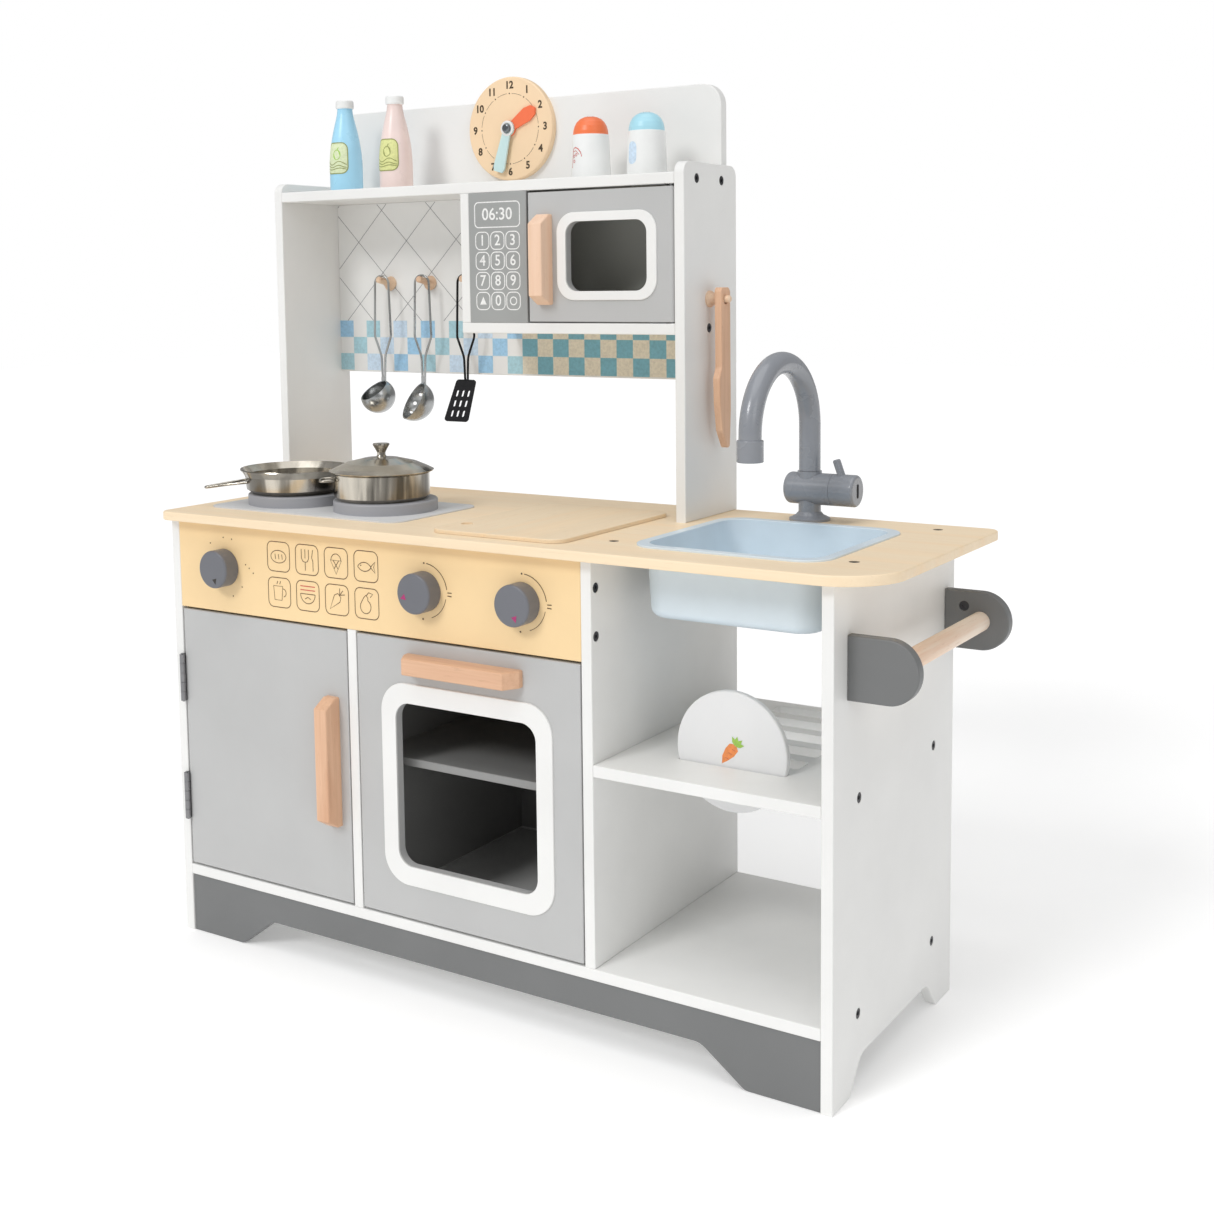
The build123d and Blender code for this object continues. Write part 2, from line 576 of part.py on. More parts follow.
def pot_lid():
    """Domed lid with a locating skirt and a turned knob."""
    lid = turned([(0, 44.5), (20, 42.8), (40, 37.5), (50, 33), (50, 27), (51.2, 27), (51.2, 31), (58.6, 31),
                  (59, 32), (52, 35.5), (40, 40.8), (20, 45.6), (6, 46.6), (4.8, 49), (4.8, 52), (7.5, 57), (9.6, 60.5),
                  (9.2, 62), (0, 62.6)])
    return Pos(POT_X, POT_Y, BURNER_TOP + BODY_GAP * 2) * lid


CUT_X, CUT_Y, CUT_T = (371.0, 536.0), (7.0, 228.0), 4.0
CUT_HOLE_R = 6.5


def cutting_board():
    x, y = sum(CUT_X) / 2, sum(CUT_Y) / 2
    low = WORK_Z + BODY_GAP
    plank = slab_z(x, y, CUT_X[1] - CUT_X[0], CUT_Y[1] - CUT_Y[0], 18, low, low + CUT_T)
    plank = fillet(plank.faces().sort_by(Axis.Z)[-1].edges(), 1.0)
    return plank - rod_z(CUT_X[0] + 17, CUT_Y[0] + 46, low - 1, low + CUT_T + 1, CUT_HOLE_R)


def plate():
    z = BAY_SHELF_Z + BOARD + PLATE_RISE
    disc = rod_y(PLATE_X, PLATE_SLOT_Y - PLATE_T / 2, PLATE_SLOT_Y + PLATE_T / 2, z, PLATE_R)
    return fillet(disc.edges().filter_by(GeomType.CIRCLE), 2.0)


# ---- sink and faucet -------------------------------------------------------------------------------
def basin_body(margin, bottom, taper, corner):
    """A tapered tub between the rim and a bottom height, drawn in by a margin."""
    x, y, width, depth, top_corner = sink_opening(margin)
    upper = Pos(x, y, WORK_Z) * RectangleRounded(width, depth, top_corner)
    lower = Pos(x, y, bottom) * RectangleRounded(width - 2 * taper, depth - 2 * taper, corner)
    tub = loft([lower.face(), upper.face()])
    return fillet(tub.faces().sort_by(Axis.Z)[0].edges(), 10.0)


def sink_basin():
    outer = basin_body(SINK_LIP, SINK_BOTTOM, SINK_TAPER, 26)
    inner = basin_body(SINK_LIP + SINK_WALL, SINK_BOTTOM + SINK_WALL, SINK_TAPER, 24)
    rim = slab_z(*sink_opening(0), WORK_Z, WORK_Z + SINK_RIM_T)
    rim -= slab_z(*sink_opening(SINK_LIP + SINK_WALL), WORK_Z - 1, WORK_Z + SINK_RIM_T + 1)
    rim = fillet(rim.faces().sort_by(Axis.Z)[-1].edges(), 0.8)
    return (outer - inner) + rim


def faucet_body():
    """Flanged stem and the fixed part of the horizontal barrel, bored for the spout and the lever."""
    flange = turned([(0, 0), (22, 0), (22, 2.5), (15, 6), (12, 9.5), (12, 22), (0, 22)])
    body = Pos(FAUCET_X, FAUCET_Y, WORK_Z) * flange
    barrel = rod_x(FAUCET_X - 25, FAUCET_X + 28, FAUCET_Y, FAUCET_Z, FAUCET_R)
    body += fillet(barrel.faces().sort_by(Axis.X)[0].edges(), 5.0)
    body += rod_z(FAUCET_X, FAUCET_Y, FAUCET_Z, FAUCET_Z + 19, 13.0)
    body -= rod_z(FAUCET_X, FAUCET_Y, FAUCET_Z - 2, FAUCET_Z + 20, 7.0 + RUN)
    return body - rod_x(FAUCET_X + 17, FAUCET_X + 28, FAUCET_Y, FAUCET_Z, 5.0 + RUN)


def faucet_spout():
    """Swan-neck spout on a round peg, with a collar at its mouth."""
    foot = FAUCET_Z + 19 + BODY_GAP
    end_y = FAUCET_Y - 2 * ARCH_R
    rise = Line((FAUCET_X, FAUCET_Y, foot), (FAUCET_X, FAUCET_Y, ARCH_Z))
    over = ThreePointArc((FAUCET_X, FAUCET_Y, ARCH_Z), (FAUCET_X, FAUCET_Y - ARCH_R, ARCH_Z + ARCH_R),
                         (FAUCET_X, end_y, ARCH_Z))
    drop = Line((FAUCET_X, end_y, ARCH_Z), (FAUCET_X, end_y, 580))
    section = Plane(origin=(FAUCET_X, FAUCET_Y, foot), z_dir=(0, 0, 1)) * Circle(NECK_R)
    tube = sweep(section, path=Wire([rise, over, drop]))
    collar = rod_z(FAUCET_X, end_y, 577, 599, 13.5)
    tube += fillet(collar.edges().filter_by(GeomType.CIRCLE), 1.0)
    tube += rod_z(FAUCET_X, FAUCET_Y, FAUCET_Z, foot, 7.0)
    return tube - rod_z(FAUCET_X, end_y, 576, 590, 9.0)


def faucet_handle():
    """The turning end of the barrel with a small thumb lever."""
    x0, x1 = FAUCET_X + 28 + BODY_GAP, FAUCET_X + 55
    grip = rod_x(x0, x1, FAUCET_Y, FAUCET_Z, FAUCET_R)
    grip = fillet(grip.faces().sort_by(Axis.X)[-1].edges(), 3.0)
    lever = Pos(x0 + 6, FAUCET_Y, FAUCET_Z + 22) * Rot(0, -20, 0) * Box(6, 10, 22)
    grip += fillet(lever.edges(), 2.0)
    return grip + rod_x(FAUCET_X + 18, x0, FAUCET_Y, FAUCET_Z, 5.0)


# ---- pegs and what hangs on them -------------------------------------------------------------------
def peg():
    """A flared wooden peg along Z, its wide foot on Z = 0."""
    return turned([(0, 0), (9, 0), (9, 2), (6, 7), (PEG_NECK, 12), (PEG_NECK, PEG_L - 1.5),
                   (PEG_NECK - 1.5, PEG_L), (0, PEG_L)])


def wall_pegs():
    pegs = [Pos(x, SPLASH_Y, PEG_Z) * Rot(90 - PEG_TILT, 0, 0) * peg() for x in PEG_X]
    wall = block(0, UP_WIDTH, SPLASH_Y, DEPTH, SPLASH_Z, TOP_SHELF_Z)
    pegs = [p - wall for p in pegs]
    return pegs + [Pos(UP_WIDTH, KNIFE_PEG_Y, KNIFE_PEG_Z) * Rot(0, 90, 0) * peg()]


WIRE_R = 1.4


def loop_top():
    """Height of the wire's centre where it lies over the peg's neck."""
    along = (SPLASH_Y - UTENSIL_Y) / cos(radians(PEG_TILT))
    return PEG_Z + along * sin(radians(PEG_TILT)) + (PEG_NECK + BODY_GAP) / cos(radians(PEG_TILT)) + WIRE_R


def utensil_handle(x):
    """One steel wire bent into a long open loop, hanging on its peg."""
    top = loop_top()
    left = [(-1.7, 634), (-3, 668), (-13, 692), (-10.5, top)]
    outline = left + [(-dx, z) for dx, z in reversed(left)]
    points = [(x + dx, UTENSIL_Y, z) for dx, z in outline]
    return wire(points, [30, 12, 10, 10, 12, 30], WIRE_R)


BOWL_T = 1.4


def bowl(radius, mouth):
    """A thin round bowl about the origin, open above the height of its mouth."""
    lid = Pos(0, 0, mouth + radius) * Box(3 * radius, 3 * radius, 2 * radius)
    return Sphere(radius) - Sphere(radius - BOWL_T) - lid


def on_handle(x, place, head, radius, tab_z):
    """A bowl in its place, joined to a hanging wire handle by a short tab."""
    tab = Pos(x, UTENSIL_Y - 0.5, tab_z) * Box(6, 2.2, 14)
    tab -= place * Sphere(radius - BOWL_T)
    return utensil_handle(x) - place * Sphere(radius - BOWL_T) + place * head + tab


def ladle():
    """Soup ladle: a deep round bowl that leans forward from the wire handle."""
    radius = 21.5
    place = Pos(PEG_X[0] + 2.5, 255, 618) * Rot(35, -14, 0)
    return on_handle(PEG_X[0], place, bowl(radius, 9), radius, 634)


def skimmer():
    """Straining ladle: a half round bowl that faces left, drained through one side."""
    radius = 25.0
    head = bowl(radius, 0)
    for lean, turns in ((22, (180,)), (44, (135, 180, 225)), (66, (112, 146, 180, 214, 248))):
        for turn in turns:
            head -= Rot(0, 0, turn) * Rot(0, 180 - lean, 0) * Pos(0, 0, radius) * Cylinder(2.3, 8)
    place = Pos(PEG_X[1] - 2, 252, 614) * Rot(0, 0, -33) * Rot(60, 0, 0)
    return on_handle(PEG_X[1], place, head, radius, 636)


def turner():
    """Slotted turner: a flat tapered blade with three by three slots, bent forward."""
    blade = extrude(make_face(Polyline((-14.5, 0), (14.5, 0), (18, -54), (-18, -54), close=True)), 1.6)
    blade = fillet(blade.edges().filter_by(Axis.Z), 4.0)
    for row in range(3):
        for column in range(3):
            spot = Pos((column - 1) * 8.5, -18 - row * 13, 0)
            blade -= spot * extrude(RectangleRounded(3.6, 8.5, 1.6), 4, both=True)
    blade = Pos(PEG_X[2], UTENSIL_Y + 1, 640) * Rot(90 - 25, 0, 0) * blade
    tab = Pos(PEG_X[2], UTENSIL_Y, 636) * Box(6, 2.2, 10)
    return utensil_handle(PEG_X[2]) + blade + tab


KNIFE_T, KNIFE_FACE_X = 8.0, 588.0


def knife():
    """Flat wooden knife hanging by a hole near the end of its handle."""
    y, z = KNIFE_PEG_Y, KNIFE_PEG_Z - 0.7
    outline = Polyline((y - 8, z + 13), (y + 8, z + 13), (y + 11, z + 9), (y + 12, z - 120), (y + 9, z - 163),
                       (y + 3, z - 158), (y - 8, z - 140), (y - 13, z - 110), (y - 14, z - 84),
                       (y - 9, z - 72), (y - 10, z + 9), close=True)
    flat = extrude(make_face(Plane.YZ * outline), KNIFE_T, dir=(1, 0, 0))
    flat = fillet(flat.edges().filter_by(Axis.X), 3.5)
    flat = fillet(flat.faces().sort_by(Axis.X)[-1].edges(), 1.5)
    flat = Pos(KNIFE_FACE_X, 0, 0) * flat
    return flat - rod_x(KNIFE_FACE_X - 1, KNIFE_FACE_X + KNIFE_T + 1, y, z, PEG_NECK + 1)


# ---- bottles and shakers ---------------------------------------------------------------------------
def bottle(x):
    shape = turned([(0, 0), (18.5, 0), (20, 1.5), (20, 28), (19.7, 38), (19, 47), (17.9, 56), (16.4, 65),
                    (14.7, 73), (12.8, 81), (11, 88), (9.7, 94), (9, 100), (10.4, 100.6), (11, 102),
                    (10.7, 109), (9.6, 110.2), (0, 110.2)])
    return Pos(x, 235, SHELF_TOP + BODY_GAP) * shape


def shaker(x):
    shape = turned([(0, 0), (21.2, 0), (22.2, 1.5), (20.3, 47.4), (19.6, 48), (19.3, 52), (18, 57), (15.6, 61.5),
                    (12, 65), (7, 67.3), (0, 68)])
    return Pos(x, 232, SHELF_TOP + BODY_GAP) * shape


# ---- screws ----------------------------------------------------------------------------------------
def screw_head(radius=SCREW_R):
    """A flat socket head along Z, its face on Z = 0."""
    head = Pos(0, 0, -SCREW_T / 2 - 0.4) * Cylinder(radius, SCREW_T)
    socket = extrude(RegularPolygon(radius * 0.45, 6), 1.2)
    return head - Pos(0, 0, -1.4) * socket


def assembly_screws():
    """Screw heads in their counterbores, one solid each."""
    heads = []
    for y, z in SIDE_SCREWS + BAY_SCREWS:
        heads.append(Pos(WIDTH, y, z) * Rot(0, 90, 0) * screw_head())
    for y, z in SIDE_SCREWS:
        heads.append(Pos(0, y, z) * Rot(0, -90, 0) * screw_head())
    for y, z in FASCIA_SCREWS:
        heads.append(Pos(MIDDLE_X + BOARD, y, z) * Rot(0, 90, 0) * screw_head())
    for y, z in UPPER_SCREWS + [MICRO_SCREW]:
        heads.append(Pos(UP_WIDTH, y, z) * Rot(0, 90, 0) * screw_head())
    for y, z in UPPER_SCREWS:
        heads.append(Pos(UP_LEFT, y, z) * Rot(0, -90, 0) * screw_head())
    for x, y in WORK_SCREWS:
        heads.append(Pos(x, y, WORK_Z) * screw_head())
    heads.append(Pos(RAIL_SCREW[0], RAIL_Y[1], RAIL_SCREW[1]) * Rot(90, 0, 0) * screw_head())
    return heads


# ---- the whole kitchen -----------------------------------------------------------------------------
def kitchen():
    """Every node of the object by name: one solid, or a list of separate solids."""
    return {
        "left_side_panel": side_panel(0, 0, SIDE_SCREWS),
        "right_side_panel": side_panel(WIDTH - BOARD, WIDTH, SIDE_SCREWS + BAY_SCREWS),
        "middle_panel": middle_panel(),
        "divider_panel": divider_panel(),
        "bottom_board": bottom_board(),
        "kick_board": kick_board(),
        "worktop": worktop(),
        "control_panel": control_panel(),
        "lower_back_panel": lower_back_panel(),
        "oven_shelf": oven_shelf(),
        "bay_shelf": bay_shelf(),
        "towel_brackets": towel_brackets(),
        "towel_bar": towel_bar(),
        "hinge_frame_leaves": hinge_frame_leaves(),
        "hinge_door_leaves": hinge_door_leaves(),
        "pivot_pins": pivot_pins(),
        "cupboard_door": cupboard_door(),
        "cupboard_handle": cupboard_handle(),
        "oven_door": oven_door(),
        "oven_window_frame": oven_window_frame(),
        "oven_handle": oven_handle(),
        "upper_left_panel": upper_panel(UP_LEFT, UP_LEFT, UPPER_SCREWS),
        "upper_right_panel": upper_panel(MIDDLE_X, UP_WIDTH, UPPER_SCREWS + [MICRO_SCREW]),
        "top_shelf": top_shelf(),
        "microwave_shelf": microwave_shelf(),
        "upper_divider": upper_divider(),
        "keypad_panel": keypad_panel(),
        "backboard": backboard(),
        "backsplash": backsplash(),
        "microwave_door": microwave_door(),
        "microwave_window_frame": microwave_window_frame(),
        "microwave_handle": microwave_handle(),
        "clock_face": clock_face(),
        "clock_hour_hand": clock_hour_hand(),
        "clock_minute_hand": clock_minute_hand(),
        "spindles": spindles(),
        "knob_left": knob(KNOB_X[0]),
        "knob_middle": knob(KNOB_X[1]),
        "knob_right": knob(KNOB_X[2]),
        "hob_plate": hob_plate(),
        "burner_discs": burner_discs(),
        "frying_pan": frying_pan(),
        "cooking_pot": cooking_pot(),
        "pot_lid": pot_lid(),
        "cutting_board": cutting_board(),
        "plate": plate(),
        "sink_basin": sink_basin(),
        "faucet_body": faucet_body(),
        "faucet_spout": faucet_spout(),
        "faucet_handle": faucet_handle(),
        "wall_pegs": wall_pegs(),
        "ladle": ladle(),
        "skimmer": skimmer(),
        "turner": turner(),
        "knife": knife(),
        "bottle_blue": bottle(73),
        "bottle_pink": bottle(152),
        "shaker_red": shaker(433),
        "shaker_blue": shaker(505),
        "assembly_screws": assembly_screws(),
    }


def export_all():
    os.makedirs("parts", exist_ok=True)
    shift = Pos(-ORIGIN_X, -ORIGIN_Y, 0)
    for name, shape in kitchen().items():
        solids = shape if isinstance(shape, list) else [shape]
        placed = [shift * solid for solid in solids]
        whole = placed[0] if len(placed) == 1 else Compound(children=placed)
        export_step(whole, f"parts/{name}.step")


export_all()
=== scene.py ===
"""Looks of the toy kitchen: lacquered boards, printed panels, steel cookware and moulded fittings.

Everything is in metres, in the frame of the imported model. The CAD nodes keep their shapes and get
procedural materials; printed lines, digits, labels and small trims are thin pieces laid on them.
"""
from math import cos, pi, radians, sin

import bpy
from mathutils import Matrix, Vector


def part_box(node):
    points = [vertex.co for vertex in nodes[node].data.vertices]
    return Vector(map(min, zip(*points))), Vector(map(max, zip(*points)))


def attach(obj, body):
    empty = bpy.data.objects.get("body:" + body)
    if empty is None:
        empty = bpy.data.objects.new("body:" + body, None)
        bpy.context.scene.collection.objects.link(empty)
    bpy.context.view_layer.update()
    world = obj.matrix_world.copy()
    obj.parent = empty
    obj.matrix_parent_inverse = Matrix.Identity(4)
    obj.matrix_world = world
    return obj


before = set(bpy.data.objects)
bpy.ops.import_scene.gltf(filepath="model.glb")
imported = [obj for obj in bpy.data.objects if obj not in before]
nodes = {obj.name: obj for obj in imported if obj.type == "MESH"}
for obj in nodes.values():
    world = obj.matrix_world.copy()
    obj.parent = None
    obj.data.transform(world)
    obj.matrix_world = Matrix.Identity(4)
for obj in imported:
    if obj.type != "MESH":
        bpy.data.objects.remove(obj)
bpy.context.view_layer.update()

MM = 0.001
LIFT = 0.15 * MM             # how far print stands off its board
LINE = 0.85 * MM             # usual width of a printed line


# ---- materials -------------------------------------------------------------------------------------
class Recipe:
    """Adds and links shader nodes in one material."""

    def __init__(self, name):
        self.material = bpy.data.materials.new(name)
        self.material.use_nodes = True
        self.tree = self.material.node_tree
        self.shader = self.tree.nodes["Principled BSDF"]
        self.place = self.tree.nodes.new("ShaderNodeTexCoord").outputs["Object"]

    def add(self, kind, **inputs):
        node = self.tree.nodes.new("ShaderNode" + kind)
        for name, value in inputs.items():
            self.feed(node.inputs[name.replace("_", " ")], value)
        return node

    def feed(self, socket, value):
        if isinstance(value, bpy.types.NodeSocket):
            self.tree.links.new(value, socket)
        else:
            socket.default_value = value

    def set(self, **inputs):
        for name, value in inputs.items():
            self.feed(self.shader.inputs[name.replace("_", " ")], value)

    def stretched(self, x=1.0, y=1.0, z=1.0):
        """The place on the object with each axis scaled, so that patterns run along one of them."""
        return self.add("Mapping", Vector=self.place, Scale=(x, y, z)).outputs["Vector"]

    def noise(self, scale, detail=4.0, place=None, roughness=0.55, distortion=0.0):
        node = self.add("TexNoise", Vector=place or self.place, Scale=scale, Detail=detail,
                        Roughness=roughness, Distortion=distortion)
        return node.outputs["Fac"]

    def ramp(self, value, *stops):
        """A colour ramp through (position, colour) stops."""
        node = self.add("ValToRGB", Fac=value)
        points = node.color_ramp.elements
        while len(points) < len(stops):
            points.new(0.5)
        for point, (position, colour) in zip(points, stops):
            point.position = position
            point.color = (*colour, 1.0)
        return node.outputs["Color"]

    def math(self, operation, first, second=0.0):
        node = self.add("Math")
        node.operation = operation
        self.feed(node.inputs[0], first)
        self.feed(node.inputs[1], second)
        return node.outputs[0]

    def mix(self, factor, first, second, blend="MIX"):
        node = self.add("Mix")
        node.data_type = "RGBA"
        node.blend_type = blend
        self.feed(node.inputs["Factor"], factor)
        self.feed(node.inputs["A"], first)
        self.feed(node.inputs["B"], second)
        return node.outputs["Result"]

    def bump(self, height, depth, normal=None, strength=0.5):
        node = self.add("Bump", Height=height, Distance=depth, Strength=strength)
        if normal is not None:
            self.feed(node.inputs["Normal"], normal)
        return node.outputs["Normal"]

    def level(self, value, low, high):
        """Spreads a 0 to 1 value between two levels."""
        node = self.add("MapRange", Value=value)
        node.inputs["To Min"].default_value = low
        node.inputs["To Max"].default_value = high
        return node.outputs["Result"]

    def height(self):
        """Height above the floor, at rest."""
        return self.add("SeparateXYZ", Vector=self.place).outputs["Z"]

    def steepness(self):
        """One on an upright wall, down to nought on level faces."""
        normal = self.add("TexCoord").outputs["Normal"]
        rise = self.math("ABSOLUTE", self.add("SeparateXYZ", Vector=normal).outputs["Z"])
        return self.level(rise, 1.0, 0.0)

    def inside(self, corners):
        """One inside the box between two corners, at rest, and nought outside it."""
        parts = self.add("SeparateXYZ", Vector=self.place)
        found = 1.0
        for axis, low, high in zip("XYZ", *corners):
            above = self.math("GREATER_THAN", parts.outputs[axis], low)
            below = self.math("LESS_THAN", parts.outputs[axis], high)
            found = self.math("MULTIPLY", found, self.math("MULTIPLY", above, below))
        return found


def shade(colour, factor):
    return tuple(min(1.0, c * factor) for c in colour)


def rgba(colour):
    return (*colour, 1.0)


def lacquer(name, colour, gloss=0.42, cloud=0.05, shade_boxes=()):
    """Sprayed satin lacquer on board: cloudy tone, fine stipple, faint scuffs in the gloss.

    The last argument holds (box corners, colour) pairs: the board's faces inside such a box get that darker
    colour as painted shade.
    """
    r = Recipe(name)
    tone = r.ramp(r.noise(7.0, 5.0), (0.3, shade(colour, 1 - cloud)), (0.7, shade(colour, 1 + cloud / 2)))
    # painted shade: faces inside each cavity box take its darker colour
    for corners, shade_colour in shade_boxes:
        tone = r.mix(r.inside(corners), tone, rgba(shade_colour))
    speck = r.math("GREATER_THAN", r.noise(420.0, 2.0), 0.73)
    tone = r.mix(r.math("MULTIPLY", speck, 0.10), tone, rgba(shade(colour, 0.72)))
    stipple = r.bump(r.noise(900.0, 2.0), 0.05 * MM)
    normal = r.bump(r.noise(22.0, 3.0), 0.25 * MM, stipple, 0.35)
    scuff = r.noise(60.0, 6.0, r.stretched(1.0, 1.0, 4.0), 0.7)
    r.set(Base_Color=tone, Roughness=r.level(scuff, gloss - 0.08, gloss + 0.12), Normal=normal)
    r.shader.inputs["Specular IOR Level"].default_value = 0.4
    return r.material


def grain_wood(name, pale, dark, along, gloss=0.45, fleck=0.5, strength=1.0):
    """Clear lacquered wood: long fibres and pores along one axis, rings drifting across."""
    r = Recipe(name)
    fine = tuple(6.0 if axis == along else 150.0 for axis in "xyz")
    wide = tuple(1.6 if axis == along else 17.0 for axis in "xyz")
    fibres = r.noise(1.0, 6.0, r.stretched(*fine), 0.65)
    rings = r.noise(1.0, 3.0, r.stretched(*wide), 0.5, 1.2)
    base = r.ramp(rings, (0.35, shade(pale, 1.03)), (0.5, pale), (0.72, shade(dark, 1.12)))
    pores = r.ramp(fibres, (0.36, dark), (0.56, pale))
    tone = r.mix(0.35 * strength, base, pores)
    short = tuple(40.0 if axis == along else 420.0 for axis in "xyz")
    flecks = r.math("GREATER_THAN", r.noise(1.0, 2.0, r.stretched(*short)), 0.66)
    tone = r.mix(r.math("MULTIPLY", flecks, 0.35 * fleck), tone, rgba(shade(dark, 0.75)))
    normal = r.bump(fibres, 0.12 * MM, None, 0.4)
    r.set(Base_Color=tone, Roughness=r.level(rings, gloss - 0.06, gloss + 0.1), Normal=normal)
    return r.material


def pressed_steel(name, colour, rough=0.17, reflection_bands=0.0):
    """Thin polished steel: turning marks, soft smears and, on its walls, upright dark and light stripes that
    are painted reflection.
    """
    r = Recipe(name)
    turning = r.noise(1.0, 3.0, r.stretched(60.0, 60.0, 1600.0))
    smear = r.noise(45.0, 5.0)
    dents = r.bump(r.noise(38.0, 2.0), 0.5 * MM, None, 0.35)
    tone = r.ramp(smear, (0.3, shade(colour, 0.86)), (0.7, colour))
    # painted reflection: dark and bright upright stripes on the walls stand in for surroundings mirrored in
    # polished steel
    painted_reflection_bands = r.ramp(r.noise(1.0, 3.0, r.stretched(42.0, 42.0, 5.0), 0.5, 0.4), (0.40, shade(colour, 0.10)),
                     (0.47, shade(colour, 0.32)), (0.56, colour), (0.66, shade(colour, 1.2)))
    tone = r.mix(r.math("MULTIPLY", r.steepness(), reflection_bands), tone, painted_reflection_bands)
    r.set(Base_Color=tone, Metallic=1.0, Roughness=r.level(smear, rough - 0.05, rough + 0.13),
          Normal=r.bump(turning, 0.02 * MM, dents, 0.5))
    return r.material


def moulded(name, colour, rough=0.38, coat=0.0):
    """Moulded plastic: fine spark texture, faint flow tone and slightly uneven gloss."""
    r = Recipe(name)
    flow = r.noise(14.0, 4.0)
    tone = r.ramp(flow, (0.3, shade(colour, 0.94)), (0.7, shade(colour, 1.04)))
    texture = r.bump(r.noise(1500.0, 2.0), 0.03 * MM)
    r.set(Base_Color=tone, Roughness=r.level(r.noise(30.0, 5.0), rough - 0.06, rough + 0.1),
          Normal=r.bump(flow, 0.3 * MM, texture, 0.25))
    r.shader.inputs["Coat Weight"].default_value = coat
    return r.material


def ink(name, colour, rough=0.55):
    """Screen-printed ink: a little uneven in tone and gloss."""
    r = Recipe(name)
    worn = r.noise(350.0, 4.0)
    tone = r.ramp(worn, (0.25, shade(colour, 0.85)), (0.65, shade(colour, 1.06)))
    r.set(Base_Color=tone, Roughness=r.level(worn, rough - 0.1, rough + 0.1),
          Normal=r.bump(worn, 0.02 * MM))
    return r.material


def two_tone(name, lower, upper, border, gloss=0.35):
    """Turned wood sprayed in two lacquers, one above and one below a height."""
    r = Recipe(name)
    wobble = r.math("MULTIPLY", r.math("SUBTRACT", r.noise(90.0, 2.0), 0.5), 0.6 * MM)
    above = r.math("GREATER_THAN", r.math("ADD", r.height(), wobble), border)
    cloud = r.noise(25.0, 4.0)
    low = r.ramp(cloud, (0.3, shade(lower, 0.95)), (0.7, shade(lower, 1.03)))
    high = r.ramp(cloud, (0.3, shade(upper, 0.94)), (0.7, shade(upper, 1.04)))
    rough = r.level(r.noise(70.0, 5.0), gloss - 0.07, gloss + 0.1)
    r.set(Base_Color=r.mix(above, low, high), Roughness=rough,
          Normal=r.bump(r.noise(700.0, 2.0), 0.05 * MM, r.bump(cloud, 0.25 * MM, None, 0.3)))
    return r.material


WHITE = (0.86, 0.86, 0.845)
DOOR_GREY = (0.515, 0.518, 0.515)
DARK_GREY = (0.180, 0.184, 0.185)
CREAM = (0.93, 0.69, 0.385)
MAPLE, MAPLE_DARK = (0.93, 0.755, 0.53), (0.86, 0.65, 0.42)
BEECH, BEECH_DARK = (0.77, 0.48, 0.31), (0.58, 0.31, 0.18)
FAUCET_GREY = (0.27, 0.285, 0.315)
SINK_BLUE = (0.70, 0.80, 0.87)
KEYPAD_GREY = (0.36, 0.37, 0.365)


def span(left, right, floor_z, ceiling_z, front, back):
    """Corners of a cavity, let out a little so that the faces round it are in it."""
    out = 0.6 * MM
    return (left - out, front, floor_z - out), (right + out, back + out, ceiling_z + out)


def oven_cavity():
    left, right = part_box("divider_panel")[1].x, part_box("middle_panel")[0].x
    front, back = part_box("oven_door")[1].y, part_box("lower_back_panel")[0].y
    return span(left, right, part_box("bottom_board")[1].z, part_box("divider_panel")[1].z, front, back)


def oven_floor():
    """The cavity's floor box, where the painted shade is paler than on the walls, standing for light that
    falls in through the window.
    """
    low, high = oven_cavity()
    return low, (high[0], high[1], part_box("bottom_board")[1].z + 2 * MM)


def microwave_cavity():
    left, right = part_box("upper_divider")[1].x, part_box("upper_right_panel")[0].x
    front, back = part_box("keypad_panel")[1].y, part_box("backsplash")[0].y
    return span(left, right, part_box("microwave_shelf")[1].z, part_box("top_shelf")[0].z, front, back)


# Painted shade: the faces inside the oven and microwave are coloured darker grey in place of the shade in
# these closed cavities; the oven floor's paler grey is painted light falling in through the window.
OVEN_PAINTED_SHADE, OVEN_FLOOR_PAINTED_SHADE, MICRO_PAINTED_SHADE = (0.30, 0.30, 0.295), (0.62, 0.62, 0.61), (0.56, 0.56, 0.52)
CAVITY_PAINTED_SHADE = ((oven_cavity(), OVEN_PAINTED_SHADE), (oven_floor(), OVEN_FLOOR_PAINTED_SHADE), (microwave_cavity(), MICRO_PAINTED_SHADE))
white = lacquer("white_lacquer", WHITE, shade_boxes=CAVITY_PAINTED_SHADE)
door_grey = lacquer("door_lacquer", DOOR_GREY, 0.40)
dark_grey = lacquer("dark_lacquer", DARK_GREY, 0.42, 0.08)
knob_grey = lacquer("knob_lacquer", (0.165, 0.17, 0.19), 0.36, 0.08)
burner_grey = lacquer("burner_lacquer", (0.37, 0.375, 0.40), 0.45, 0.07)
hob_grey = lacquer("hob_print", (0.66, 0.665, 0.67), 0.5, 0.06)
cream = lacquer("cream_lacquer", CREAM, 0.45, 0.06, CAVITY_PAINTED_SHADE)
keypad_grey = lacquer("keypad_lacquer", KEYPAD_GREY, 0.42, 0.08)
maple = grain_wood("worktop_wood", MAPLE, MAPLE_DARK, "x", 0.42, 0.35, 0.7)
maple_board = grain_wood("cutting_board_wood", shade(MAPLE, 0.93), MAPLE_DARK, "y", 0.48, 0.6)
beech_x = grain_wood("beech_along_x", BEECH, BEECH_DARK, "x")
beech_z = grain_wood("beech_along_z", BEECH, BEECH_DARK, "z")
beech_pale = grain_wood("beech_pale", (0.87, 0.62, 0.46), BEECH, "z")
bar_wood = grain_wood("towel_bar_wood", (0.92, 0.80, 0.67), BEECH, "y", 0.5, 0.6)
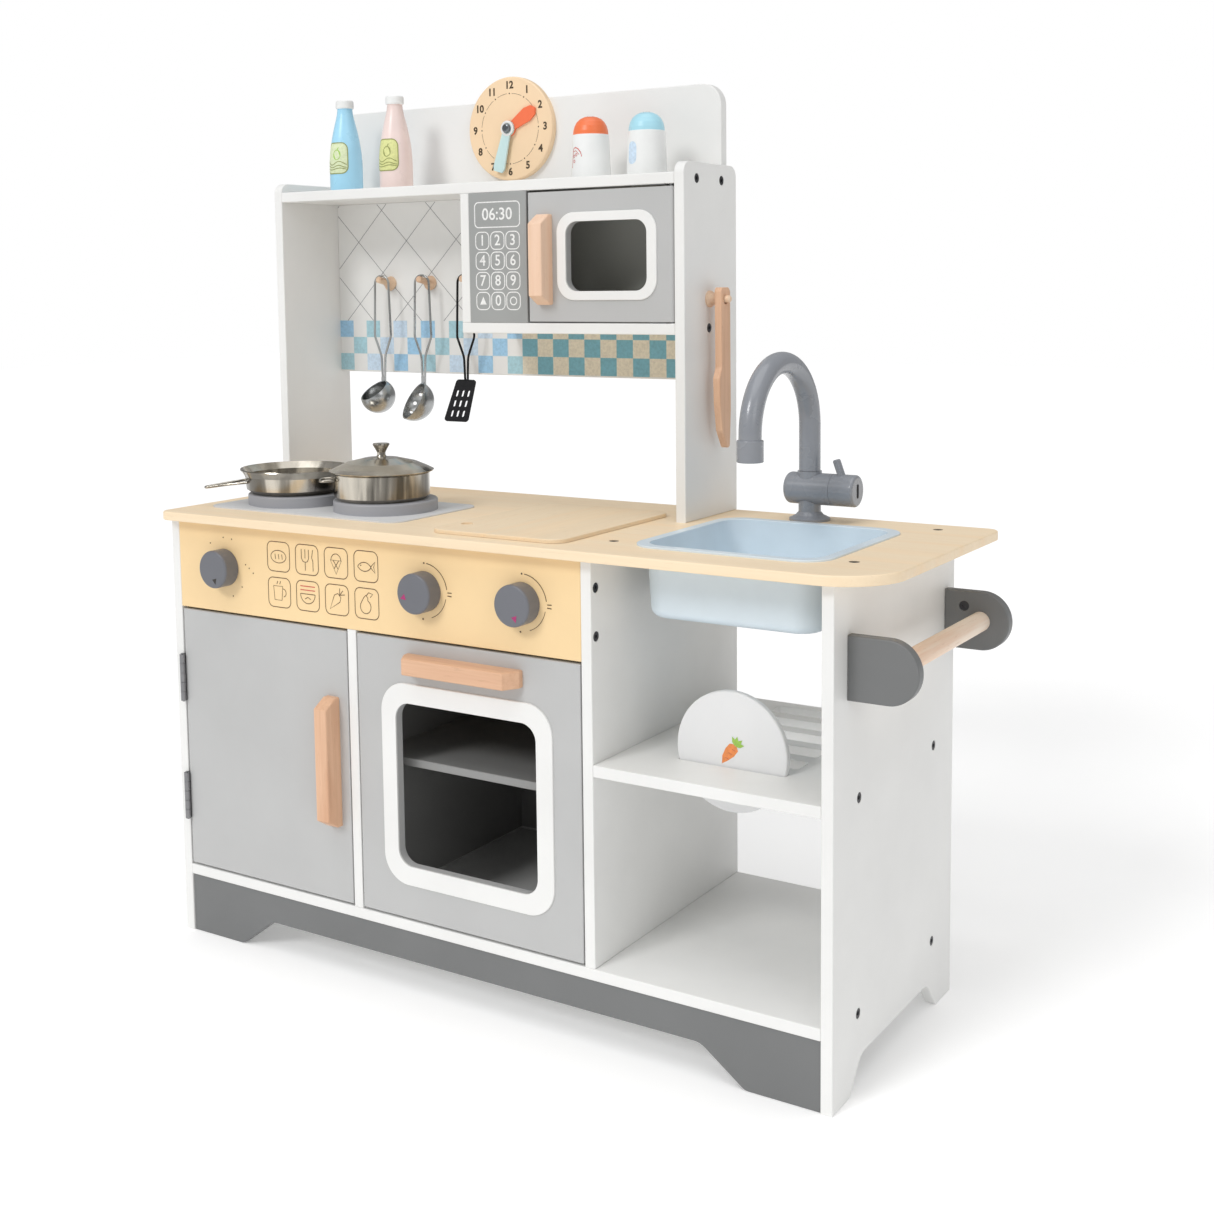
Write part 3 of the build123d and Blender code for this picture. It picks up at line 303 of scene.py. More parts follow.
peg_wood = grain_wood("peg_wood", (0.84, 0.62, 0.44), BEECH_DARK, "y", 0.5, 0.8)
steel = pressed_steel("pressed_steel", (0.58, 0.54, 0.47), 0.15, 0.85)
wire_steel = pressed_steel("wire_steel", (0.50, 0.51, 0.51), 0.24, 0.35)
hinge_steel = pressed_steel("hinge_steel", (0.30, 0.30, 0.31), 0.35)
pin_steel = pressed_steel("pin_steel", (0.22, 0.24, 0.26), 0.25)
screw_dark = pressed_steel("screw_dark", (0.08, 0.08, 0.085), 0.4)
turner_black = moulded("turner_black", (0.014, 0.014, 0.016), 0.55)
turner_black.node_tree.nodes["Principled BSDF"].inputs["Specular IOR Level"].default_value = 0.15
faucet_grey = moulded("faucet_plastic", FAUCET_GREY, 0.26, 0.35)
sink_blue = moulded("sink_plastic", SINK_BLUE, 0.30, 0.15)
clock_peach = lacquer("clock_lacquer", (0.93, 0.70, 0.46), 0.42)
hand_red = lacquer("hour_hand_lacquer", (0.93, 0.19, 0.08), 0.36)
hand_teal = lacquer("minute_hand_lacquer", (0.60, 0.80, 0.80), 0.40)
plate_white = lacquer("plate_lacquer", (0.84, 0.845, 0.85), 0.30)

ink_brown = ink("ink_brown", (0.13, 0.07, 0.03))
ink_black = ink("ink_black", (0.04, 0.035, 0.03))
ink_grey = ink("ink_grey", (0.33, 0.33, 0.34))
ink_white = ink("ink_white", (0.88, 0.88, 0.87), 0.45)
ink_red = ink("ink_red", (0.62, 0.10, 0.08))
ink_magenta = ink("ink_magenta", (0.42, 0.03, 0.16))
ink_orange = ink("ink_orange", (0.90, 0.30, 0.09))
ink_green = ink("ink_green", (0.36, 0.60, 0.10))
ink_olive = ink("ink_olive", (0.30, 0.33, 0.10))
ink_lime = ink("ink_lime", (0.74, 0.76, 0.33))
ink_pale_green = ink("ink_pale_green", (0.72, 0.80, 0.52))
check_blue = ink("check_blue", (0.37, 0.62, 0.84))
check_teal = ink("check_teal", (0.42, 0.66, 0.74))
check_pale = ink("check_pale", (0.62, 0.76, 0.90))
# painted shadow: the two check colours used on the splash under the microwave
painted_shadow_deep = ink("painted_shadow_deep", (0.20, 0.46, 0.56))
painted_shadow_beige = ink("painted_shadow_beige", (0.80, 0.74, 0.60))


def dress(material, *names):
    """Gives CAD nodes a material."""
    for name in names:
        nodes[name].data.materials.clear()
        nodes[name].data.materials.append(material)


def top_of(name):
    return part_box(name)[1].z


dress(white, "left_side_panel", "right_side_panel", "middle_panel", "divider_panel", "bottom_board",
      "bay_shelf", "upper_left_panel", "upper_right_panel", "top_shelf", "microwave_shelf",
      "upper_divider", "backboard", "backsplash", "oven_window_frame", "microwave_window_frame",
      "lower_back_panel", "oven_shelf")
dress(door_grey, "cupboard_door", "oven_door", "microwave_door")
dress(dark_grey, "kick_board", "towel_brackets")
dress(knob_grey, "knob_left", "knob_middle", "knob_right")
dress(burner_grey, "burner_discs")
dress(hob_grey, "hob_plate")
dress(cream, "control_panel")
dress(keypad_grey, "keypad_panel")
dress(maple, "worktop")
dress(maple_board, "cutting_board")
dress(beech_x, "oven_handle")
dress(beech_z, "cupboard_handle", "knife")
dress(beech_pale, "microwave_handle")
dress(bar_wood, "towel_bar")
dress(peg_wood, "wall_pegs")
dress(steel, "frying_pan", "cooking_pot", "pot_lid")
dress(wire_steel, "ladle", "skimmer")
dress(turner_black, "turner")
dress(hinge_steel, "hinge_frame_leaves", "hinge_door_leaves", "pivot_pins")
dress(pin_steel, "spindles")
dress(screw_dark, "assembly_screws")
dress(faucet_grey, "faucet_body", "faucet_spout", "faucet_handle")
dress(sink_blue, "sink_basin")
dress(clock_peach, "clock_face")
dress(hand_red, "clock_hour_hand")
dress(hand_teal, "clock_minute_hand")
dress(plate_white, "plate")

CAP_H = 9.9 * MM             # cap colour below a bottle's top
DOME_H = 20 * MM             # dome colour below a shaker's top
BOTTLE_BLUE, BOTTLE_PINK = (0.40, 0.73, 0.93), (0.89, 0.73, 0.69)
CAP_WHITE = (0.87, 0.88, 0.87)
dress(two_tone("blue_bottle", BOTTLE_BLUE, CAP_WHITE, top_of("bottle_blue") - CAP_H, 0.28), "bottle_blue")
dress(two_tone("pink_bottle", BOTTLE_PINK, CAP_WHITE, top_of("bottle_pink") - CAP_H, 0.28), "bottle_pink")
dress(two_tone("red_shaker", CAP_WHITE, (0.90, 0.20, 0.07), top_of("shaker_red") - DOME_H), "shaker_red")
dress(two_tone("blue_shaker", CAP_WHITE, (0.42, 0.74, 0.86), top_of("shaker_blue") - DOME_H), "shaker_blue")


# ---- printed lines and patches ---------------------------------------------------------------------
def front_plane(y):
    """Places (right, up) on an upright face that looks to the front."""
    return lambda u, v, lift=LIFT: (u, y - lift, v)


def top_plane(z):
    return lambda u, v, lift=LIFT: (u, v, z + lift)


def round_face(x, y, base, wall, turn):
    """Places (along the curve, up) on a turned wall, round from a turn in radians.

    The wall gives the radius at a height above the base.
    """
    def place(u, v, lift=LIFT):
        radius = wall(v - base)
        angle = turn + u / wall(0)
        return (x + (radius + lift) * sin(angle), y - (radius + lift) * cos(angle), v)
    return place


class Sheet:
    """Collects flat printed shapes on one surface into one mesh."""

    def __init__(self, place):
        self.place = place
        self.points = []
        self.faces = []

    def patch(self, outline, lift=LIFT):
        """A filled shape, given anticlockwise."""
        start = len(self.points)
        self.points += [self.place(u, v, lift) for u, v in outline]
        self.faces.append(list(range(start, start + len(outline))))

    def line(self, path, width=LINE, closed=False, lift=LIFT):
        """A ribbon of even width along a path."""
        count = len(path)
        start = len(self.points)
        for index, (u, v) in enumerate(path):
            before = path[(index - 1) % count] if closed or index else path[0]
            after = path[(index + 1) % count] if closed or index < count - 1 else path[-1]
            along = Vector((after[0] - before[0], after[1] - before[1])).normalized()
            side = Vector((-along.y, along.x)) * width / 2
            self.points.append(self.place(u + side.x, v + side.y, lift))
            self.points.append(self.place(u - side.x, v - side.y, lift))
        for index in range(count if closed else count - 1):
            a = start + 2 * index
            b = start + 2 * ((index + 1) % count)
            self.faces.append([a, a + 1, b + 1, b])

    def dot(self, u, v, radius=LINE):
        self.patch(arc(u, v, radius, 0, 315, 8))

    def make(self, name, material, body):
        mesh = bpy.data.meshes.new(name)
        mesh.from_pydata(self.points, [], self.faces)
        mesh.materials.append(material)
        piece = bpy.data.objects.new(name, mesh)
        bpy.context.scene.collection.objects.link(piece)
        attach(piece, body)
        return piece


def arc(u, v, radius, start, end, count=17, squash=1.0):
    """Points of an arc from one angle to another, in degrees, anticlockwise from the right."""
    angles = [radians(start + (end - start) * i / (count - 1)) for i in range(count)]
    return [(u + radius * cos(a), v + radius * squash * sin(a)) for a in angles]


def rounded(u, v, width, height, corner):
    """Outline of a rounded rectangle round a centre."""
    right, top = width / 2 - corner, height / 2 - corner
    outline = []
    for su, sv, start in ((1, 1, 0), (-1, 1, 90), (-1, -1, 180), (1, -1, 270)):
        outline += arc(u + su * right, v + sv * top, corner, start, start + 90, 6)
    return outline


def stepped(path, pieces=6):
    """A closed path with every side cut into equal pieces, so that it can follow a curved wall."""
    points = []
    for (u0, v0), (u1, v1) in zip(path, path[1:] + path[:1]):
        points += [(u0 + (u1 - u0) * i / pieces, v0 + (v1 - v0) * i / pieces) for i in range(pieces)]
    return points


def scaled(shape, u, v, size):
    """A shape drawn in a square from -1 to 1, moved to a centre and sized."""
    return [(u + size * a, v + size * b) for a, b in shape]


def text_mesh(text, size, weight):
    """Flat mesh of a short run of digits, centred on its own origin."""
    curve = bpy.data.curves.new("digits_" + text, "FONT")
    curve.body = text
    curve.size = size
    curve.align_x = "CENTER"
    curve.align_y = "CENTER"
    curve.offset = size * weight
    curve.resolution_u = 3
    holder = bpy.data.objects.new("digits_" + text, curve)
    bpy.context.scene.collection.objects.link(holder)
    mesh = bpy.data.meshes.new_from_object(holder.evaluated_get(bpy.context.evaluated_depsgraph_get()))
    bpy.data.objects.remove(holder)
    bpy.data.curves.remove(curve)
    return mesh


def write(sheet, text, size, u, v, weight=0.012):
    """Adds digits to a sheet at a centre; the weight thickens their strokes."""
    mesh = text_mesh(text, size, weight)
    start = len(sheet.points)
    sheet.points += [sheet.place(u + p.co.x, v + p.co.y) for p in mesh.vertices]
    sheet.faces += [[start + i for i in face.vertices] for face in mesh.polygons]
    bpy.data.meshes.remove(mesh)


# ---- control panel prints --------------------------------------------------------------------------
panel_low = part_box("control_panel")[0]
PANEL_FACE = front_plane(panel_low.y)
ICON_W, ICON_H, ICON_STEP_X, ICON_STEP_Z = 33 * MM, 33 * MM, 42 * MM, 40 * MM
ICON_X = panel_low.x + 155 * MM
ICON_Z = panel_low.z + 70.5 * MM
GLYPH = ICON_W * 0.43
ICON_LINE = 0.95 * MM


def steak(s, u, v, k):
    s.line(scaled(arc(0, 0, 0.8, 0, 337, 16, 0.62), u, v, k), closed=True)
    for x in (-0.35, 0.0, 0.35):
        s.line(scaled([(x, 0.2), (x + 0.05, -0.2)], u, v, k))


def cutlery(s, u, v, k):
    for x in (-0.55, -0.18, 0.18):
        s.line(scaled([(x, 0.8), (x, 0.1)], u, v, k))
    s.line(scaled([(-0.55, 0.1), (-0.4, -0.15), (-0.18, -0.2), (0.05, -0.15), (0.18, 0.1)], u, v, k))
    s.line(scaled([(-0.18, -0.2), (-0.18, -0.85)], u, v, k))
    s.line(scaled([(0.62, 0.8), (0.5, 0.2), (0.62, -0.1), (0.62, -0.85)], u, v, k))


def ice_cone(s, u, v, k):
    s.line(scaled(arc(0, 0.2, 0.5, 0, 180, 12), u, v, k))
    s.line(scaled([(-0.55, 0.2), (0.55, 0.2), (0, -0.85)], u, v, k), closed=True)
    s.line(scaled([(-0.28, 0.2), (0.2, -0.45)], u, v, k))
    s.line(scaled([(0.28, 0.2), (-0.2, -0.45)], u, v, k))


def fish(s, u, v, k):
    s.line(scaled(arc(-0.15, -0.5, 0.8, 35, 145, 12), u, v, k))
    s.line(scaled(arc(-0.15, 0.42, 0.8, -145, -35, 12), u, v, k))
    s.line(scaled([(0.45, 0.0), (0.9, 0.4), (0.75, 0.0), (0.9, -0.45), (0.45, -0.05)], u, v, k))
    s.dot(u - 0.5 * k, v + 0.05 * k)


def mug(s, u, v, k):
    s.line(scaled([(-0.6, 0.5), (-0.5, -0.6), (0.25, -0.6), (0.35, 0.5)], u, v, k), closed=True)
    s.line(scaled(arc(0.38, 0.0, 0.32, -80, 90, 9), u, v, k))
    s.line(scaled([(-0.25, 0.65), (-0.15, 0.9)], u, v, k))
    s.line(scaled([(0.05, 0.65), (0.15, 0.9)], u, v, k))


def bowl(s, u, v, k):
    s.line(scaled(arc(0, 0.15, 0.75, 180, 360, 14), u, v, k))
    s.line(scaled([(-0.75, 0.15), (0.75, 0.15)], u, v, k))
    s.line(scaled([(-0.3, -0.25), (0.0, -0.1), (0.3, -0.25)], u, v, k))


def carrot(s, u, v, k):
    s.line(scaled([(-0.7, -0.75), (-0.25, 0.35), (0.1, 0.5), (0.4, 0.2), (0.3, -0.15)], u, v, k), closed=True)
    for x, z in ((0.3, 0.9), (0.62, 0.75), (0.8, 0.45)):
        s.line(scaled([(0.28, 0.38), (x, z)], u, v, k))


def pear(s, u, v, k):
    s.line(scaled(arc(-0.12, -0.25, 0.52, -200, 65, 14) + [(0.1, 0.45), (-0.1, 0.62), (-0.32, 0.4)], u, v, k),
           closed=True)
    s.line(scaled([(-0.05, 0.6), (0.2, 0.85), (0.6, 0.75), (0.35, 0.5)], u, v, k))


def fascia_icons():
    lines = Sheet(PANEL_FACE)
    pictures = ((steak, cutlery, ice_cone, fish), (mug, bowl, carrot, pear))
    for row, pair in enumerate(pictures):
        for column, picture in enumerate(pair):
            u = ICON_X + column * ICON_STEP_X
            v = ICON_Z - row * ICON_STEP_Z
            lines.line(rounded(u, v, ICON_W, ICON_H, 7 * MM), ICON_LINE, True)
            picture(lines, u, v, GLYPH)
    lines.make("fascia_icons", ink_brown, "cabinet")
    red = Sheet(PANEL_FACE)
    u, v, k = ICON_X + ICON_STEP_X, ICON_Z - ICON_STEP_Z, GLYPH
    for z in (0.45, 0.75):
        red.line(scaled([(-0.75, z), (0.75, z)], u, v, k), LINE * 1.3)
    red.make("fascia_icon_stripes", ink_red, "cabinet")


def knob_scale(lines, name):
    """Heat scale beside a knob: two arcs, end dots and a few marks."""
    low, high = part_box(name)
    u, v = (low.x + high.x) / 2, (low.z + high.z) / 2
    radius = 29.5 * MM
    lines.line(arc(u, v, radius, 84, 8), LINE * 1.1)
    lines.line(arc(u, v, radius * 0.96, -12, -72), LINE * 0.8)
    for angle in (90, -95):
        lines.dot(u + radius * cos(radians(angle)), v + radius * sin(radians(angle)), 1.1 * MM)
    for angle in (2, -4):
        near, far = radius * 1.02, radius * 1.2
        lines.line([(u + near * cos(radians(angle)), v + near * sin(radians(angle))),
                    (u + far * cos(radians(angle)), v + far * sin(radians(angle)))], LINE * 1.2)


def left_knob_marks(lines):
    low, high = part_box("knob_left")
    u, v = (low.x + high.x) / 2, (low.z + high.z) / 2
    for angle, radius in ((92, 34), (70, 35), (10, 33), (3, 38), (-4, 44), (-38, 33), (-70, 34), (130, 34)):
        lines.dot(u + radius * MM * cos(radians(angle)), v + radius * MM * sin(radians(angle)), 0.9 * MM)


def knob_pointer(name, angle, material):
    """A small printed triangle near the knob's rim, pointing outward."""
    low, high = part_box(name)
    u, v = (low.x + high.x) / 2, (low.z + high.z) / 2
    sheet = Sheet(front_plane(low.y))
    a = radians(angle)
    out, side = Vector((cos(a), sin(a))), Vector((-sin(a), cos(a)))
    centre = Vector((u, v)) + out * 13 * MM
    tip, half = out * 4.2 * MM, side * 3.4 * MM
    back = out * -2.4 * MM
    corners = [centre + tip, centre + back + half, centre + back - half]
    sheet.patch([(c.x, c.y) for c in corners])
    sheet.make(name + "_pointer", material, name)


fascia_icons()
scales = Sheet(PANEL_FACE)
knob_scale(scales, "knob_middle")
knob_scale(scales, "knob_right")
left_knob_marks(scales)
scales.make("knob_scales", ink_brown, "cabinet")
knob_pointer("knob_left", -75, ink_black)
knob_pointer("knob_middle", 200, ink_magenta)
knob_pointer("knob_right", -70, ink_magenta)


# ---- microwave keypad ------------------------------------------------------------------------------
def keypad():
    low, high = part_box("keypad_panel")
    u, top = (low.x + high.x) / 2, high.z
    s = Sheet(front_plane(low.y))
    s.line(rounded(u, top - 25 * MM, 62 * MM, 28 * MM, 5 * MM), 1.3 * MM, True)
    write(s, "06:30", 19 * MM, u, top - 25 * MM)
    keys = ("123", "456", "789", "^0-")
    for row, marks in enumerate(keys):
        for column, mark in enumerate(marks):
            x = u + (column - 1) * 21 * MM
            z = top - (54 + 22.5 * row) * MM
            s.line(rounded(x, z, 18.5 * MM, 19.5 * MM, 6 * MM), 1.2 * MM, True)
            if mark == "^":
                s.patch([(x - 4.5 * MM, z - 4 * MM), (x + 4.5 * MM, z - 4 * MM), (x, z + 5 * MM)])
            elif mark == "-":
                s.line(arc(x, z, 4.4 * MM, 0, 330, 12), 1.4 * MM, True)
            else:
                write(s, mark, 17 * MM, x, z)
    s.make("keypad_print", ink_white, "cabinet")


keypad()


# ---- backsplash ------------------------------------------------------------------------------------
CHECK_W, CHECK_H = 22.1 * MM, 21 * MM
CHECK_ROWS = 3
LATTICE = 78 * MM
CHECK_FOOT = 2 * MM          # plain edge below the lowest row
SHORTEST_LINE = 2 * MM       # a shorter piece of a diagonal is left out


def splash_checks():
    low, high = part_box("backsplash")
    place = front_plane(low.y)
    sheets = [Sheet(place) for _ in range(5)]
    columns = int((high.x - low.x) / CHECK_W) + 1
    # Painted shadow: under the microwave the checks are coloured darker, white squares beige and coloured
    # ones deep teal, for the shadow the microwave casts on the splash.
    shadow_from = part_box("upper_divider")[0].x
    for row in range(CHECK_ROWS):
        for column in range(columns):
            left = low.x + column * CHECK_W
            coloured = (row + column) % 2 == 0
            if not coloured and left < shadow_from:
                continue
            right = min(left + CHECK_W, high.x)
            base = low.z + CHECK_FOOT + (CHECK_ROWS - 1 - row) * CHECK_H
            if right - left < 4 * MM:
                continue
            shape = [(left, base), (right, base), (right, base + CHECK_H), (left, base + CHECK_H)]
            if left < shadow_from:
                sheets[(column * 2 + row * 5) % 3].patch(shape)
            else:
                sheets[3 if coloured else 4].patch(shape)
    materials = (check_blue, check_teal, check_pale, painted_shadow_deep, painted_shadow_beige)
    for name, sheet, material in zip(("blue", "teal", "pale", "deep", "beige"), sheets, materials):
        sheet.make("splash_checks_" + name, material, "cabinet")


def clipped(left, right, bottom, top, start, slope):
    """The part of a diagonal through (start, bottom) that lies in a rectangle."""
    edges = sorted((bottom + (left - start) / slope, bottom + (right - start) / slope))
    low_v, high_v = max(bottom, edges[0]), min(top, edges[1])
    if high_v - low_v <= SHORTEST_LINE:
        return None
    return [(start + slope * (v - bottom), v) for v in (low_v, high_v)]


def splash_lattice():
    low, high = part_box("backsplash")
    sheet = Sheet(front_plane(low.y))
    bottom = low.z + CHECK_FOOT + CHECK_ROWS * CHECK_H
    left, right, top = low.x + 1 * MM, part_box("upper_divider")[0].x, high.z - 1 * MM
    crossing = (low.x + 73.6 * MM, low.z + 203.5 * MM)
    for slope in (1, -1):
        first = crossing[0] - slope * (crossing[1] - bottom)
        for step in range(-10, 12):
            path = clipped(left, right, bottom, top, first + step * LATTICE, slope)
            if path:
                sheet.line(path, 0.8 * MM)
    sheet.make("splash_lattice", ink_grey, "cabinet")


splash_checks()
splash_lattice()


# ---- clock -----------------------------------------------------------------------------------------
NUMERAL_R, MINUTE_TRACK_R = 50.5 * MM, 41 * MM
HUB_INNER, HUB_OUTER, HUB_T = 5.8 * MM, 9.0 * MM, 0.45 * MM


def clock_print():
    low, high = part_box("clock_face")
    u, v = (low.x + high.x) / 2, (low.z + high.z) / 2
    s = Sheet(front_plane(low.y))
    for hour in range(1, 13):
        angle = radians(90 - 30 * hour)
        write(s, str(hour), 12 * MM, u + NUMERAL_R * cos(angle), v + NUMERAL_R * sin(angle), 0.035)
        s.dot(u + MINUTE_TRACK_R * cos(angle), v + MINUTE_TRACK_R * sin(angle), 0.9 * MM)
    for start in range(0, 360, 30):
        s.line(arc(u, v, MINUTE_TRACK_R, start + 5, start + 25, 6), 0.4 * MM)
    s.make("clock_numerals", ink("clock_ink", (0.07, 0.045, 0.02)), "cabinet")


def ring(name, x, y, z, inner, outer, depth, material, body):
    """A turned flat ring with rounded edges that looks to the front."""
    profile = [(inner, 0), (outer - 0.3 * MM, 0), (outer, -0.3 * MM), (outer, -depth + 0.4 * MM),
               (outer - 0.4 * MM, -depth), (inner + 0.4 * MM, -depth), (inner, -depth + 0.4 * MM)]
    turns = 40
    points = []
    faces = []
    count = len(profile)
    for step in range(turns):
        a = 2 * pi * step / turns
        points += [(x + r * cos(a), y + d, z + r * sin(a)) for r, d in profile]
        after = (step + 1) % turns
        for k in range(count):
            n = (k + 1) % count
            faces.append([step * count + k, after * count + k, after * count + n, step * count + n])
    mesh = bpy.data.meshes.new(name)
    mesh.from_pydata(points, [], faces)
    mesh.shade_smooth()
    mesh.materials.append(material)
    piece = bpy.data.objects.new(name, mesh)
    bpy.context.scene.collection.objects.link(piece)
    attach(piece, body)
    return piece


clock_print()
hand_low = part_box("clock_minute_hand")[0]
face_low, face_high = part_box("clock_face")
ring("minute_hand_hub", (face_low.x + face_high.x) / 2, hand_low.y, (face_low.z + face_high.z) / 2,
     HUB_INNER, HUB_OUTER, HUB_T, white, "clock_minute_hand")


# ---- plate, bottle and shaker prints ---------------------------------------------------------------
def plate_carrot():
    low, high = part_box("plate")
    u, v = (low.x + high.x) / 2, (low.z + high.z) / 2 + 2 * MM
    k = 13 * MM
    root = Sheet(front_plane(low.y))
    root.patch(scaled([(-0.75, -1.1), (-0.3, -0.85), (0.25, -0.45), (0.6, 0.0), (0.5, 0.3), (0.2, 0.5),
                       (-0.1, 0.5), (-0.45, 0.1), (-0.72, -0.5)], u, v, k))
    root.make("plate_carrot_root", ink_orange, "plate")
    ridges = Sheet(front_plane(low.y))
    for x, z in ((-0.45, -0.6), (-0.2, -0.2), (0.1, 0.1)):
        ridges.line(scaled([(x, z), (x + 0.3, z - 0.12)], u, v, k), 0.5 * MM, lift=2 * LIFT)
    ridges.make("plate_carrot_ridges", ink_red, "plate")
    leaves = Sheet(front_plane(low.y))
    for order, angle in enumerate((115, 80, 40, 5)):
        a = radians(angle)
        out, side = (cos(a), sin(a)), (-sin(a), cos(a))
        tip = [(0.42 + out[0] * t + side[0] * w, 0.42 + out[1] * t + side[1] * w)
               for t, w in ((0, -0.1), (0.35, -0.17), (0.72, 0), (0.35, 0.17), (0, 0.1))]
        leaves.patch(scaled(tip, u, v, k), (2 + 0.4 * order) * LIFT)
    leaves.make("plate_carrot_leaves", ink_green, "plate")


def centre_of(name):
    low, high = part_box(name)
    return (low.x + high.x) / 2, (low.y + high.y) / 2, low.z


def bottle_wall(height):
    """A bottle's radius: straight to its shoulder, then drawn in."""
    over = max(0.0, height / MM - 28)
    return (20 - 0.00275 * over ** 2) * MM


def shaker_wall(height):
    return (22.2 - 0.0414 * height / MM) * MM


def wrapped_patch(sheet, u, v, width, height, corner, lift):
    """A rounded label that follows a curved wall: built of a fine grid."""
    strips, rows = 16, 8
    half = width / 2

    def reach(x):
        over = max(0.0, abs(x) - (half - corner))
        return height / 2 - corner + (corner ** 2 - over ** 2) ** 0.5

    for i in range(strips):
        x0, x1 = -half + width * i / strips, -half + width * (i + 1) / strips
        for j in range(rows):
            low, high = 2 * j / rows - 1, 2 * (j + 1) / rows - 1
            sheet.patch([(u + x0, v + low * reach(x0)), (u + x1, v + low * reach(x1)),
                         (u + x1, v + high * reach(x1)), (u + x0, v + high * reach(x0))], lift)


LABEL_W, LABEL_H, LABEL_CORNER = 33 * MM, 37 * MM, 8 * MM
LABEL_Z = 40 * MM            # middle of a label above the bottle's foot


def bottle_label(name, ground, picture):
    """A plain label on a bottle's front: a border, hill lines and a round fruit."""
    x, y, base = centre_of(name)
    place = round_face(x, y, base, bottle_wall, 0.0)
    v = base + LABEL_Z
    field = Sheet(place)
    wrapped_patch(field, 0, v, LABEL_W, LABEL_H, LABEL_CORNER, LIFT)
    field.make(name + "_label", ground, name)
    lines = Sheet(place)
    lines.line(stepped(rounded(0, v, LABEL_W, LABEL_H, LABEL_CORNER)), 1.2 * MM, True, 2 * LIFT)
    for drop, wave, pitch in ((6, 2.0, 3.5), (10, 1.2, 3.0), (13, 0.9, 4.0)):
        hill = [(i * MM, v - (drop - wave * sin(i / pitch)) * MM) for i in range(-15, 16)]
        lines.line(hill, 0.9 * MM, lift=2 * LIFT)
    lines.make(name + "_label_lines", ink_olive, name)
    fruit = Sheet(place)
    fruit.patch(arc(2 * MM, v + 4 * MM, 5.5 * MM, 0, 337, 16, 1.15), 2 * LIFT)
    fruit.line([(2 * MM, v + 9 * MM), (4.2 * MM, v + 13 * MM)], 1.1 * MM, lift=2 * LIFT)
    fruit.make(name + "_label_fruit", picture, name)


def red_shaker_print():
    """A pizza slice on the front left of the red shaker."""
    x, y, base = centre_of("shaker_red")
    place = round_face(x, y, base, shaker_wall, radians(-14))
    v = base + 22 * MM
    slice_edge = Sheet(place)
    rim = scaled([(-9, -10), (-7, 10), (-3, 11.5), (1.5, 10), (5, 6.5), (7, 2)], 0, v, MM)
    crust = scaled([(-6, 7), (-2, 8), (3.5, 3.5)], 0, v, MM)
    slice_edge.line(rim, 1.1 * MM, True, 2 * LIFT)
    slice_edge.line(crust, 0.7 * MM, lift=2 * LIFT)
    for du, dv in ((-5, 2), (-1, 3.5), (-4.5, -3.5)):
        slice_edge.line(arc(du * MM, v + dv * MM, 1.5 * MM, 0, 315, 8), 0.7 * MM, True, 2 * LIFT)
    slice_edge.make("shaker_red_print", ink_red, "shaker_red")


def blue_shaker_print():
    x, y, base = centre_of("shaker_blue")
    drop = Sheet(round_face(x, y, base, shaker_wall, radians(-18)))
    wrapped_patch(drop, 0, base + 24 * MM, 13 * MM, 24 * MM, 6 * MM, LIFT)
    drop.make("shaker_blue_print", check_pale, "shaker_blue")


def shaker_holes(name):
    """Printed dots on a shaker's dome."""
    x, y, base = centre_of(name)
    sheet = Sheet(top_plane(top_of(name) + 0.05 * MM))
    for index in range(5):
        a = 2 * pi * index / 5
        sheet.dot(x + 3.2 * MM * cos(a), y + 3.2 * MM * sin(a), 0.8 * MM)
    sheet.make(name + "_dots", ink_black, name)


plate_carrot()
bottle_label("bottle_blue", ink_pale_green, ink_green)
bottle_label("bottle_pink", ink_lime, ink_olive)
red_shaker_print()
blue_shaker_print()
shaker_holes("shaker_red")
shaker_holes("shaker_blue")


# ---- faucet mark -----------------------------------------------------------------------------------
def faucet_mark():
    """The moulded slot mark in the lever's end face."""
    low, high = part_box("faucet_handle")
    y, z = low.y + 17 * MM, low.z + 17 * MM
    mark = Sheet(lambda u, v, lift=LIFT: (high.x + lift, u, v))
    mark.patch(rounded(y, z, 5 * MM, 15 * MM, 2 * MM))
    mark.make("faucet_lever_mark", turner_black, "faucet_handle")


faucet_mark()


# ---- stage, light and camera -----------------------------------------------------------------------
def floor():
    """Pale paper, glowing faintly so that it blends into the background."""
    mesh = bpy.data.meshes.new("floor")
    reach = 12.0
    mesh.from_pydata([(-reach, -reach, 0), (reach, -reach, 0), (reach, reach, 0), (-reach, reach, 0)], [],
                     [[0, 1, 2, 3]])
    r = Recipe("floor_paper")
    tone = r.ramp(r.noise(3.0, 3.0), (0.3, (0.95, 0.95, 0.95)), (0.7, (0.97, 0.97, 0.97)))
    r.set(Base_Color=tone, Roughness=0.9, Emission_Color=(1.0, 1.0, 1.0, 1.0), Emission_Strength=0.16)
    mesh.materials.append(r.material)
    piece = bpy.data.objects.new("floor", mesh)
    bpy.context.scene.collection.objects.link(piece)


AMBIENT = 0.36


